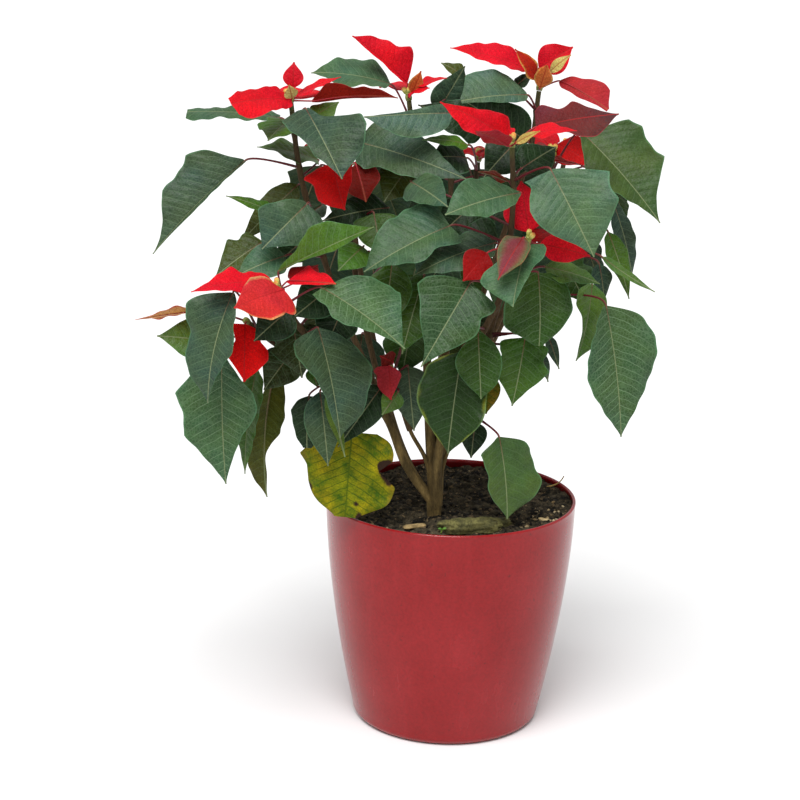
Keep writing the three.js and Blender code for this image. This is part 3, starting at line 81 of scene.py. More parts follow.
# the plant's layout: stem = spots of its route [across, down, depth]; leaves and bracts =
# [base, tip, width, facing, fold in degrees, arch share, outline, colour]; buds = how many
shoots = {
"upper_left": {
"stem": [[433,501,-50],[406,463,-50],[385,408,-50],[338,300,-46],[309,208,-44],[298,160,-42],[291,103,-42]],
"leaves": [
[[245,161,-62],[153,254,-92],88,[-0.35,-0.72,0.6],40,0.04,"wing","dark"],
[[280,118,-8],[187,112,-12],31,[0,-0.28,1],8,0.03,"bell","mid"],
[[293,120,-26],[268,141,-78],52,[-0.2,-0.6,0.8],8,0.05,"angled","lime"],
[[318,160,-14],[257,147,-34],52,[0,-0.3,1],12,0.04,"angled","light"],
[[306,109,-66],[342,179,-122],88,[0,-0.8,0.6],22,0.05,"saddle","dark"],
[[313,118,-30],[339,102,-18],30,[0,-0.4,1],5,0.04,"plain","light"],
[[298,185,-22],[240,243,-42],31,[-0.3,-1,0.2],12,0.04,"plain","olive"],
[[282,217,-48],[226,196,-72],20,[0,-0.55,0.9],8,0.04,"plain","lime"],
[[307,204,-82],[262,249,-112],74,[0.1,-1,0.3],12,0.05,"shell","dark"],
[[263,242,-62],[215,277,-86],42,[-0.3,-0.9,0.4],14,0.05,"angled","olive"],
[[285,256,-88],[236,276,-108],38,[0,-0.8,0.6],14,0.05,"plain","mid"],
[[304,240,-64],[277,264,-78],34,[0,-0.9,0.4],12,0.05,"plain","darkest"]
],
"bracts": [
[[291,100,-46],[231,104,-100],32,[0,-0.8,0.6],12,0.05,"bell","red"],
[[293,88,-38],[294,62,-32],20,[0,-1,0],15,0.05,"bract","red"],
[[296,97,-38],[341,77,-30],20,[0,-0.2,1],12,0.04,"bract","red"],
[[312,101,-46],[398,98,-52],34,[0,0.8,0.6],10,0.06,"flag","rust"],
[[292,98,-50],[289,85,-58],14,[0.2,-1,0.1],16,0.03,"bract","yellow"],
[[293,99,-28],[316,90,22],46,[0,-0.1,1],10,0.05,"bract","red"]
],
"buds": 3,
"girth": 0.8
},
"top_center": {
"stem": [[434,505,-50],[430,440,-46],[427,360,-20],[424,260,0],[417,170,8],[409,101,10]],
"leaves": [
[[390,84,6],[311,73,-6],60,[0.1,-0.42,0.9],16,0.05,"tear","mid"],
[[438,111,28],[465,66,18],30,[0.2,-0.9,0.3],10,0.04,"plain","dark"],
[[466,78,34],[441,63,26],22,[0,-0.6,0.8],8,0.04,"plain","olive"],
[[453,113,-34],[364,117,-56],46,[0,-0.84,0.3],22,0.03,"flat","blue"],
[[357,142,-12],[468,180,-56],56,[0,-0.8,0.6],16,0.05,"lobed","dark"],
[[394,156,0],[352,165,-14],34,[0,-0.5,0.9],8,0.04,"plain","olive"],
[[408,168,-8],[384,202,-30],44,[0,-0.9,0.5],6,0.04,"plain","olive"]
],
"bracts": [
[[407,83,8],[352,36,0],56,[0.51,-0.71,0.48],36,0.04,"flag","red"],
[[416,86,2],[447,78,-6],20,[0,-0.3,1],10,0.04,"bract","red"],
[[409,94,-2],[430,88,-14],22,[0,-0.45,1],6,0.05,"bract","red"],
[[412,93,-2],[421,71,-8],15,[0.3,-1,0.1],14,0.03,"bract","orange"],
[[405,91,18],[384,84,60],34,[0,-0.1,1],10,0.05,"bract","red"]
],
"buds": 3,
"girth": 1
},
"top_right": {
"stem": [[436,505,-48],[441,440,-42],[468,340,-22],[505,230,4],[530,150,16],[539,91,22]],
"leaves": [
[[527,95,2],[461,101,-26],58,[0,-0.8,0.6],14,0.05,"oar","blue"],
[[528,142,12],[463,100,-4],48,[0,-0.95,0.3],8,0.04,"plain","darkest"],
[[516,86,12],[532,74,18],16,[0,-0.6,0.8],8,0.04,"plain","darkest"],
[[486,129,4],[418,105,-4],42,[0,-0.9,0.5],8,0.05,"lobed","darkest"],
[[514,144,-8],[484,177,-32],42,[0,-0.9,0.4],12,0.05,"plain","darkest"],
[[529,146,-22],[517,176,-38],26,[0.2,-0.9,0.3],12,0.05,"plain","darkest"]
],
"bracts": [
[[528,70,20],[450,48,-2],34,[0,-0.6,0.8],24,0.05,"bract","red"],
[[539,68,20],[573,47,28],32,[0.1,-0.9,0.3],16,0.05,"bract","red"],
[[537,79,10],[515,49,-8],19,[0.3,-0.8,0.5],14,0.03,"bract","edged"],
[[550,72,6],[571,55,-4],12,[0,-0.8,0.6],10,0.05,"bract","yellow"],
[[540,88,6],[547,65,-4],22,[0.1,-1,0.2],14,0.03,"pear","orange"],
[[560,81,26],[608,110,6],44,[-0.4,0.8,-0.4],14,-0.06,"oar","pink"]
],
"buds": 2,
"girth": 1
},
"right_front": {
"stem": [[436,505,-52],[442,442,-56],[480,360,-64],[504,280,-72],[513,205,-76],[512,148,-76]],
"leaves": [
[[520,193,-100],[445,215,-142],66,[0.2,-0.7,0.7],16,0.06,"slip","mid"],
[[551,170,-116],[594,257,-142],88,[0,-1,0.35],14,0.05,"shield","blue"],
[[522,168,-62],[556,147,-34],36,[0,-0.9,0.4],8,0.04,"plain","darkest"],
[[450,226,-92],[364,272,-126],78,[-0.07,-0.67,0.74],16,0.05,"swan","mid"],
[[498,240,-64],[456,236,-60],40,[0,-0.8,0.4],8,0.05,"plain","darkest"],
[[508,181,-60],[478,172,-48],28,[0,0.5,0.9],8,0.04,"plain","rust"],
[[411,182,-52],[448,207,-112],38,[0,-0.9,0.5],8,0.04,"plain","mid"],
[[525,338,-84],[512,406,-92],56,[0.2,-1,0.3],14,0.05,"angled","grass"],
[[548,336,-62],[559,369,-66],12,[0.3,-0.9,0.1],8,0.04,"plain","dark"],
[[541,353,-72],[548,382,-74],11,[0.3,-0.9,0.1],8,0.04,"plain","dark"]
],
"bracts": [
[[508,139,-80],[440,102,-112],38,[0.1,-0.8,0.6],14,0.05,"sickle","red"],
[[508,146,-98],[475,131,-142],30,[0,0.4,0.8],14,0.03,"bract","pink"],
[[518,141,-80],[577,131,-104],32,[0,-0.35,1],12,0.08,"bract","red"],
[[516,143,-96],[540,131,-112],9,[0,-0.8,0.6],8,0.03,"bract","yellow"],
[[536,127,-62],[619,114,-78],42,[0,-0.8,0.6],14,0.04,"ear","maroon"],
[[509,140,-70],[480,118,-38],32,[0,-0.1,1],10,0.05,"bract","red"]
],
"buds": 3,
"girth": 1
},
"right_back": {
"stem": [[437,505,-46],[444,440,-38],[490,340,0],[530,250,24],[551,195,36],[553,158,40]],
"leaves": [
[[582,133,-6],[660,223,-44],98,[0.3,-0.8,0.5],18,0.05,"sail","pale"],
[[611,197,26],[632,276,18],30,[0.5,-0.8,0.2],8,0.05,"pear","dark"],
[[608,232,-6],[629,299,-24],23,[0.4,-0.85,0.3],14,0.04,"plain","lime"],
[[602,257,-34],[655,292,-38],13,[0.2,-0.6,0.8],14,-0.03,"plain","light"],
[[599,264,-12],[604,301,-20],22,[0.4,-0.8,0.2],8,0.04,"plain","dark"],
[[592,284,-34],[576,361,-44],46,[0.6,-0.7,0.2],12,0.05,"scarf","light"],
[[562,258,-14],[586,305,-24],44,[0.2,-1,0.3],12,0.05,"angled","green"],
[[606,306,-62],[621,437,-84],70,[0.45,-0.85,0.23],14,0.04,"paddle","veined"]
],
"bracts": [
[[558,144,52],[592,165,22],36,[0,-0.9,0.5],8,0.05,"bract","redDeep"],
[[550,160,10],[592,169,-14],26,[0,0.4,0.9],8,0.04,"bract","rust"],
[[549,147,34],[537,146,4],16,[0,-0.6,0.8],8,0.04,"bract","redShade"],
[[550,147,50],[530,130,88],36,[0,-0.1,1],10,0.05,"bract","red"]
],
"buds": 3,
"girth": 1
},
"center_right": {
"stem": [[435,507,-53],[441,440,-61],[474,352,-76],[497,305,-88],[513,272,-100],[526,244,-106]],
"leaves": [
[[527,246,-126],[513,307,-166],66,[-0.28,-0.7,0.66],28,0.06,"cup","mid"],
[[545,267,-74],[600,284,-82],34,[0,-0.4,0.9],8,0.04,"plain","light"],
[[538,273,-88],[539,346,-114],73,[0.3,-0.9,0.33],12,0.06,"disc","green"],
[[495,243,-98],[413,276,-114],46,[0,-0.5,0.9],8,0.05,"plain","dark"],
[[462,352,-90],[448,454,-108],76,[-0.18,-0.96,0.2],14,0.05,"tear","edgeYellow"],
[[478,330,-104],[481,399,-118],52,[0,-1,0.22],14,0.05,"pear","green"],
[[470,283,-126],[421,367,-164],80,[0.11,-0.9,0.42],16,0.05,"maple","deep"],
[[489,376,-70],[486,414,-76],24,[0,-1,0.1],8,0.05,"plain","brownYellow"]
],
"bracts": [
[[523,238,-128],[498,280,-174],31,[-0.2,-0.9,0.3],28,0.04,"bract","halfGreen"],
[[487,253,-122],[463,281,-134],31,[0,-1,0.2],8,0.04,"bract","redShade"],
[[540,244,-102],[590,256,-92],28,[0,-0.9,0.5],6,0.05,"bract","red"],
[[529,232,-70],[521,181,-50],42,[0,-0.95,-0.1],8,0.04,"bract","red"],
[[532,242,-94],[556,230,-60],28,[0,-0.1,1],10,0.05,"bract","redShade"]
],
"buds": 2,
"girth": 1
},
"middle_back": {
"stem": [[435,503,-46],[436,430,-34],[448,330,-8],[462,240,14],[474,190,24],[478,162,28]],
"leaves": [
[[468,145,-22],[422,140,-42],22,[0,-0.5,1],6,0.05,"plain","lime"],
[[466,158,-8],[430,158,-36],42,[0,-0.8,0.6],12,0.05,"plain","darkest"],
[[472,206,-24],[437,238,-40],42,[0,-0.9,0.4],12,0.05,"plain","darkest"],
[[452,244,-22],[420,300,-36],56,[0,-1,0.3],12,0.05,"angled","dark"],
[[464,298,-38],[486,356,-52],46,[0.1,-1,0.3],12,0.05,"plain","darkOlive"]
],
"bracts": [
[[484,157,18],[490,148,-10],12,[0,-0.6,0.8],8,0.04,"bract","red"],
[[480,157,20],[483,149,-6],10,[0,-0.6,0.8],8,0.04,"bract","red"],
[[478,158,34],[484,148,72],34,[0,-0.1,1],8,0.05,"bract","red"]
],
"buds": 2,
"girth": 1
},
"left_front": {
"stem": [[432,503,-51],[405,464,-53],[383,413,-60],[334,365,-86],[298,325,-108],[280,292,-120]],
"leaves": [
[[279,271,-109],[374,227,-148],52,[-0.45,-0.73,0.5],30,0.02,"spoon","lime"],
[[322,288,-136],[405,349,-168],80,[0.2,-0.62,0.76],14,0.05,"fan","veined"],
[[318,328,-112],[340,438,-134],66,[0.5,-0.8,0.3],20,0.05,"mitten","dark"],
[[290,309,-114],[254,341,-128],40,[0,-1,0.3],8,0.05,"plain","darkest"],
[[342,310,-94],[326,348,-102],42,[0,-1,0.2],12,0.05,"plain","darkest"],
[[328,290,-98],[294,317,-112],40,[0,-1,0.3],8,0.05,"plain","darkest"],
[[293,324,-95],[302,378,-104],52,[0.1,-1,0.2],14,0.05,"angled","darkOlive"],
[[309,396,-86],[307,448,-96],34,[-0.2,-1,0.1],12,0.05,"oak","darkest"],
[[320,392,-96],[328,466,-108],38,[0.2,-1,0.1],14,0.05,"plain","dark"],
[[327,394,-112],[345,457,-122],14,[0.2,1,0.1],8,0.03,"plain","light"],
[[312,368,-76],[318,388,-80],16,[0,-1,0.2],8,0.05,"plain","lime"],
[[352,432,-80],[345,517,-90],97,[0,-1,0.1],8,0.03,"oak","yellowLeaf"]
],
"bracts": [
[[274,283,-120],[191,292,-158],42,[0,-0.45,1],10,0.06,"angled","red"],
[[284,290,-138],[234,308,-184],54,[0.4,-0.6,0.69],10,0.05,"trident","redPale"],
[[288,281,-120],[336,284,-142],40,[0,0.6,-0.8],8,-0.02,"flag","red"],
[[294,283,-104],[318,265,-74],32,[0,-0.1,1],10,0.05,"bract","redShade"]
],
"buds": 3,
"girth": 0.8
},
"far_left": {
"stem": [[432,501,-48],[405,462,-47],[380,405,-44],[326,374,-60],[277,345,-84],[249,323,-98]],
"leaves": [
[[233,293,-136],[208,403,-152],56,[-0.47,-0.85,0.24],18,0.09,"drop","dark"],
[[222,355,-102],[226,484,-112],84,[-0.19,-0.98,0.07],14,0.04,"spade","veined"],
[[257,368,-82],[245,474,-90],32,[-0.6,-0.8,0.1],16,0.04,"plain","light"],
[[274,376,-58],[267,497,-64],40,[0.5,0.9,0.1],14,-0.08,"hook","olive"],
[[292,352,-84],[264,390,-94],40,[-0.1,-1,0.2],12,0.05,"plain","darkOlive"],
[[215,342,-92],[157,336,-110],46,[0,-0.85,0.5],14,0.05,"lobed","light"]
],
"bracts": [
[[245,324,-108],[244,382,-126],50,[0.1,-0.94,0.33],14,0.05,"cleft","redBright"],
[[207,310,-100],[135,320,-120],32,[0,0.5,0.9],10,0.02,"bract","peach"]
],
"buds": 0,
"girth": 0.8
},
"left_inner": {
"stem": [[433,501,-47],[407,462,-45],[386,404,-38],[364,320,-18],[350,240,-2],[340,172,4]],
"leaves": [
[[388,208,-20],[322,221,-52],38,[0,-0.8,0.6],8,0.05,"plain","darkest"],
[[363,247,-50],[338,271,-82],36,[0,-0.9,0.5],8,0.05,"plain","lime"],
[[374,214,-50],[382,258,-72],44,[0,-1,0.3],12,0.05,"lobed","fresh"],
[[392,262,-76],[385,322,-98],54,[0.1,-1,0.3],14,0.05,"pear","fresh"],
[[362,334,0],[356,396,-4],50,[0,-1,0.2],12,0.05,"plain","dark"]
],
"bracts": [
[[333,163,-56],[345,210,-88],62,[-0.4,-0.8,0.4],16,0.05,"heart","redDeep"],
[[356,164,-30],[366,202,-52],38,[0,0.95,0.2],8,0.04,"bract","dull"]
],
"buds": 0,
"girth": 0.8
},
"low_center": {
"stem": [[434,492,-50],[425,458,-52],[410,430,-55],[398,392,-62],[391,370,-66]],
"leaves": [
[[408,366,-61],[414,431,-76],41,[0,-1,0.1],8,0.05,"plain","dark"],
[[382,386,-80],[338,447,-100],34,[0,-1,0.2],8,0.05,"plain","darkest"],
[[398,392,-84],[382,415,-96],22,[0,-1,0.2],8,0.05,"plain","light"],
[[424,276,-60],[402,354,-94],62,[-0.1,-1,0.3],14,0.05,"lobed","fresh"],
[[412,322,-40],[402,376,-44],56,[0,-1,0.2],12,0.05,"lobed","green"]
],
"bracts": [
[[389,366,-78],[391,400,-96],32,[0,-1,0.1],14,0.05,"heart","pink"],
[[393,362,-70],[380,356,-84],18,[0,-1,0.2],8,0.05,"bract","dull"]
],
"buds": 0,
"girth": 0.45
},
"low_right": {
"stem": [[436,500,-52],[444,462,-52],[454,440,-56],[468,424,-62],[481,416,-66]],
"leaves": [
[[499,437,-86],[507,519,-100],58,[0.5,-0.8,0.22],12,0.05,"tongue","pale"],
[[475,422,-57],[471,458,-62],26,[0,-1,0.2],8,0.05,"plain","darkest"]
],
"bracts": [
],
"buds": 0,
"girth": 0.45
},
"rear_left": {
"stem": [[433,503,-46],[408,462,-36],[388,404,-8],[368,312,60],[354,230,96],[347,152,112]],
"leaves": [
[[320,166,132],[296,236,170],60,[-0.3,0.9,0.4],8,0.05,"lobed","dark"],
[[356,172,154],[348,246,200],60,[0,1,0.4],8,0.05,"plain","mid"],
[[375,166,124],[402,232,164],60,[0.2,0.9,0.4],8,0.05,"angled","dark"],
[[322,204,88],[280,246,104],56,[-0.8,0.5,0.4],8,0.05,"plain","dark"],
[[340,240,118],[318,312,156],62,[-0.2,1,0.3],8,0.05,"plain","dark"],
[[370,252,106],[380,322,142],58,[0.1,1,0.3],8,0.05,"lobed","mid"],
[[338,300,74],[306,338,92],48,[-0.7,0.7,0.3],8,0.05,"plain","darkOlive"]
],
"bracts": [
[[334,150,119],[290,156,140],36,[0,0.2,1],10,0.05,"angled","red"],
[[360,150,119],[404,156,140],38,[0,0.2,1],10,0.05,"bract","red"],
[[347,150,127],[347,158,178],38,[0,0.2,1],10,0.05,"bract","red"],
[[358,151,103],[398,154,70],34,[0,-0.1,1],10,0.05,"bract","redShade"],
[[336,151,103],[297,154,70],34,[0,-0.1,1],10,0.05,"bract","redShade"]
],
"buds": 3,
"girth": 0.8
},
"rear_middle": {
"stem": [[434,505,-38],[437,436,-14],[440,372,24],[446,284,80],[450,214,122],[452,152,142]],
"leaves": [
[[436,166,172],[418,238,216],60,[0,1,0.4],8,0.05,"plain","mid"],
[[470,170,184],[490,240,224],58,[0.1,1,0.4],8,0.05,"lobed","dark"],
[[422,172,150],[396,242,192],60,[-0.3,1,0.4],8,0.05,"plain","dark"],
[[484,176,138],[512,236,172],58,[0.3,0.9,0.4],8,0.05,"plain","mid"],
[[446,242,152],[438,314,192],64,[0,1,0.3],8,0.05,"angled","dark"],
[[470,250,134],[474,308,166],54,[0.1,1,0.3],8,0.05,"plain","green"],
[[428,236,128],[406,300,160],56,[-0.2,1,0.3],8,0.05,"plain","mid"],
[[452,312,76],[448,368,104],48,[0,1,0.3],8,0.05,"plain","darkOlive"]
],
"bracts": [
[[439,150,149],[396,156,168],38,[0,0.2,1],10,0.05,"bract","red"],
[[465,150,149],[500,156,166],36,[0,0.2,1],10,0.05,"angled","red"],
[[452,150,157],[452,158,208],38,[0,0.2,1],10,0.05,"bract","red"],
[[441,151,133],[403,154,100],34,[0,0,1],10,0.05,"bract","redShade"],
[[463,151,133],[500,154,100],34,[0,0,1],10,0.05,"bract","redShade"]
],
"buds": 3,
"girth": 1
},
"rear_right": {
"stem": [[437,505,-44],[444,442,-28],[476,376,14],[520,286,70],[552,214,110],[566,152,126]],
"leaves": [
[[544,166,152],[526,238,192],58,[-0.1,1,0.4],8,0.05,"lobed","dark"],
[[584,172,158],[594,244,198],56,[0.3,0.9,0.4],8,0.05,"plain","mid"],
[[536,190,120],[500,256,156],60,[-0.4,1,0.4],8,0.05,"plain","dark"],
[[598,166,116],[626,222,136],58,[0.8,0.5,0.4],8,0.05,"plain","green"],
[[554,246,116],[546,316,154],62,[0,1,0.3],8,0.05,"angled","dark"],
[[522,262,98],[502,322,130],56,[-0.2,1,0.3],8,0.05,"plain","mid"],
[[580,232,84],[598,286,96],44,[0.8,0.6,0.3],8,0.05,"plain","dark"]
],
"bracts": [
[[553,150,133],[510,156,152],36,[0,0.2,1],10,0.05,"bract","red"],
[[579,150,133],[622,156,154],38,[0,0.2,1],10,0.05,"angled","red"],
[[566,150,141],[566,158,190],38,[0,0.2,1],10,0.05,"bract","red"],
[[555,151,117],[518,154,84],34,[0,0,1],10,0.05,"bract","redShade"],
[[577,151,117],[614,154,86],34,[0,0,1],10,0.05,"bract","redShade"]
],
"buds": 3,
"girth": 1
}
}

# small tools
def linear(hexText):
    # c / 12.92 up to 0.04045, ((c + 0.055) / 1.055) ^ 2.4 above
    raw = np.array([int(hexText[i:i + 2], 16) for i in (0, 2, 4)]) / 255
    return np.where(raw <= 0.04045, raw / 12.92, ((raw + 0.055) / 1.055) ** 2.4)


def unit(vectors):
    return vectors / np.maximum(np.linalg.norm(vectors, axis=-1, keepdims=True), 1e-9)


def ease(values, start, end):
    # 3 t^2 - 2 t^3 with t running 0..1 from start to end
    t = np.clip((values - start) / (end - start), 0, 1)
    return t * t * (3 - 2 * t)


def place(spots):
    # the point at depth y on the line of sight through the sheet's spot (across, down)
    spots = np.asarray(spots, float)
    ray = (forward * view["sheetDistance"] + sheetAcross * (spots[..., :1] - view["sheetMiddle"])
           + sheetUp * (view["sheetMiddle"] - spots[..., 1:2]))
    return sight + ray * ((spots[..., 2:3] - sight[1]) / ray[..., 1:2])


def ripple(points, size, seed, waves=14):
    # sum of sines with random directions, wavelengths from size to 2.4 size; about -1..1
    rng = np.random.default_rng(seed)
    ways = unit(rng.normal(size=(waves, 3))) * (2 * math.pi / (size * rng.uniform(1, 2.4, (waves, 1))))
    starts = rng.uniform(0, 2 * math.pi, waves)
    return np.sin(points @ ways.T + starts).sum(-1) / math.sqrt(waves)


# A shape is a dictionary: points, quads, tris, tint (and vein strength) per point, finish per face, and
# two UV maps per face corner: "veins" (vein phase, share of the half width) and "blade" (mm across and
# along).
def makeShape(points, quads, tint, finish=0, tris=None, veins=None, blade=None, strength=1):
    tris = np.zeros((0, 3), int) if tris is None else tris
    faceCount = len(quads) + len(tris)
    cornerCount = quads.size + tris.size
    blank = np.tile((0.5, 0.0), (cornerCount, 1))
    return {
        "points": points,
        "quads": quads,
        "tris": tris,
        "tint": np.column_stack([np.broadcast_to(tint, points.shape), np.full(len(points), strength)]),
        "finish": np.broadcast_to(finish, faceCount),
        "veins": blank if veins is None else veins,
        "blade": blank if blade is None else blade,
    }


def makePiece(name, shapes, materials, sharpAngle=55):
    starts = np.cumsum([0] + [len(s["points"]) for s in shapes[:-1]])
    points = np.concatenate([s["points"] for s in shapes]) * metresPerMm
    tint = np.concatenate([s["tint"] for s in shapes])
    corners = np.concatenate([np.concatenate([s["quads"].ravel(), s["tris"].ravel()]) + start
                              for s, start in zip(shapes, starts)])
    sizes = np.concatenate([np.repeat([4, 3], [len(s["quads"]), len(s["tris"])]) for s in shapes])
    mesh = bpy.data.meshes.new(name)
    mesh.vertices.add(len(points))
    mesh.vertices.foreach_set("co", points.astype(np.float32).ravel())
    mesh.loops.add(len(corners))
    mesh.loops.foreach_set("vertex_index", corners.astype(np.int32))
    mesh.polygons.add(len(sizes))
    mesh.polygons.foreach_set("loop_start", (np.cumsum(sizes) - sizes).astype(np.int32))
    mesh.update(calc_edges=True)
    mesh.polygons.foreach_set("material_index",
                              np.concatenate([s["finish"] for s in shapes]).astype(np.int32))
    mesh.polygons.foreach_set("use_smooth", np.full(len(sizes), True))
    for layer in ("blade", "veins"):
        uv = mesh.uv_layers.new(name=layer)
        uv.uv.foreach_set("vector", np.concatenate([s[layer] for s in shapes]).astype(np.float32).ravel())
    paint = mesh.color_attributes.new("tint", "FLOAT_COLOR", "POINT")
    paint.data.foreach_set("color", tint.astype(np.float32).ravel())
    for material in materials:
        mesh.materials.append(material)
    mesh.set_sharp_from_angle(angle=math.radians(sharpAngle))
    piece = bpy.data.objects.new(name, mesh)
    bpy.context.scene.collection.objects.link(piece)
    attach(piece, "root")
    return piece


def gridQuads(rows, columns, wrap=False):
    # corner numbers of a grid's quads, turned so that (column step) x (row step) points out
    i, j = np.meshgrid(np.arange(rows - 1), np.arange(columns if wrap else columns - 1), indexing="ij")
    k = (j + 1) % columns
    return np.stack([i * columns + j, i * columns + k, (i + 1) * columns + k, (i + 1) * columns + j],
                    -1).reshape(-1, 4)


def ringShape(points, rows, sides, tint, finish=0):
    # rings of points, then the middle of the first and of the last ring; fans close both ends
    count = rows * sides
    k = np.arange(sides)
    after = (k + 1) % sides
    caps = np.concatenate([
        np.stack([np.full(sides, count), after, k], -1),
        np.stack([np.full(sides, count + 1), count - sides + k, count - sides + after], -1),
    ])
    return makeShape(points, gridQuads(rows, sides, wrap=True), tint, finish, caps)


def tube(path, radii, sides, tint, finish=0):
    # ring k at path point i: path + r_i (cos a first + sin a second), frames carried along the path
    path = np.asarray(path, float)
    way = unit(np.gradient(path, axis=0))
    first = np.empty_like(path)
    first[0] = unit(np.cross((0.3, 1, 0.2), way[0]))
    for i in range(1, len(path)):
        carried = first[i - 1] - way[i] * (first[i - 1] @ way[i])
        first[i] = carried / np.linalg.norm(carried)
    second = np.cross(way, first)
    angle = np.arange(sides) * 2 * math.pi / sides
    radii = np.broadcast_to(radii, len(path))[:, None]
    ring = ((radii * np.cos(angle))[..., None] * first[:, None]
            + (radii * np.sin(angle))[..., None] * second[:, None])
    points = np.concatenate([(path[:, None] + ring).reshape(-1, 3), path[:1], path[-1:]])
    tint = np.asarray(tint, float)
    if tint.ndim == 2:
        tint = np.concatenate([np.repeat(tint, sides, axis=0), tint[:1], tint[-1:]])
    return ringShape(points, len(path), sides, tint, finish)


# materials
def addNode(tree, kind, settings=None, links=None):
    node = tree.nodes.new("ShaderNode" + kind)
    for key, value in (settings or {}).items():
        if isinstance(key, int) or key in node.inputs:
            node.inputs[key].default_value = value
        else:
            setattr(node, key, value)
    for key, source in (links or {}).items():
        tree.links.new(source, node.inputs[key])
    return node


def startMaterial(name, settings):
    material = bpy.data.materials.new(name)
    material.use_nodes = True
    shader = material.node_tree.nodes["Principled BSDF"]
    for key, value in settings.items():
        shader.inputs[key].default_value = value
    return material, material.node_tree, shader


def colour(hexText):
    return (*linear(hexText), 1)


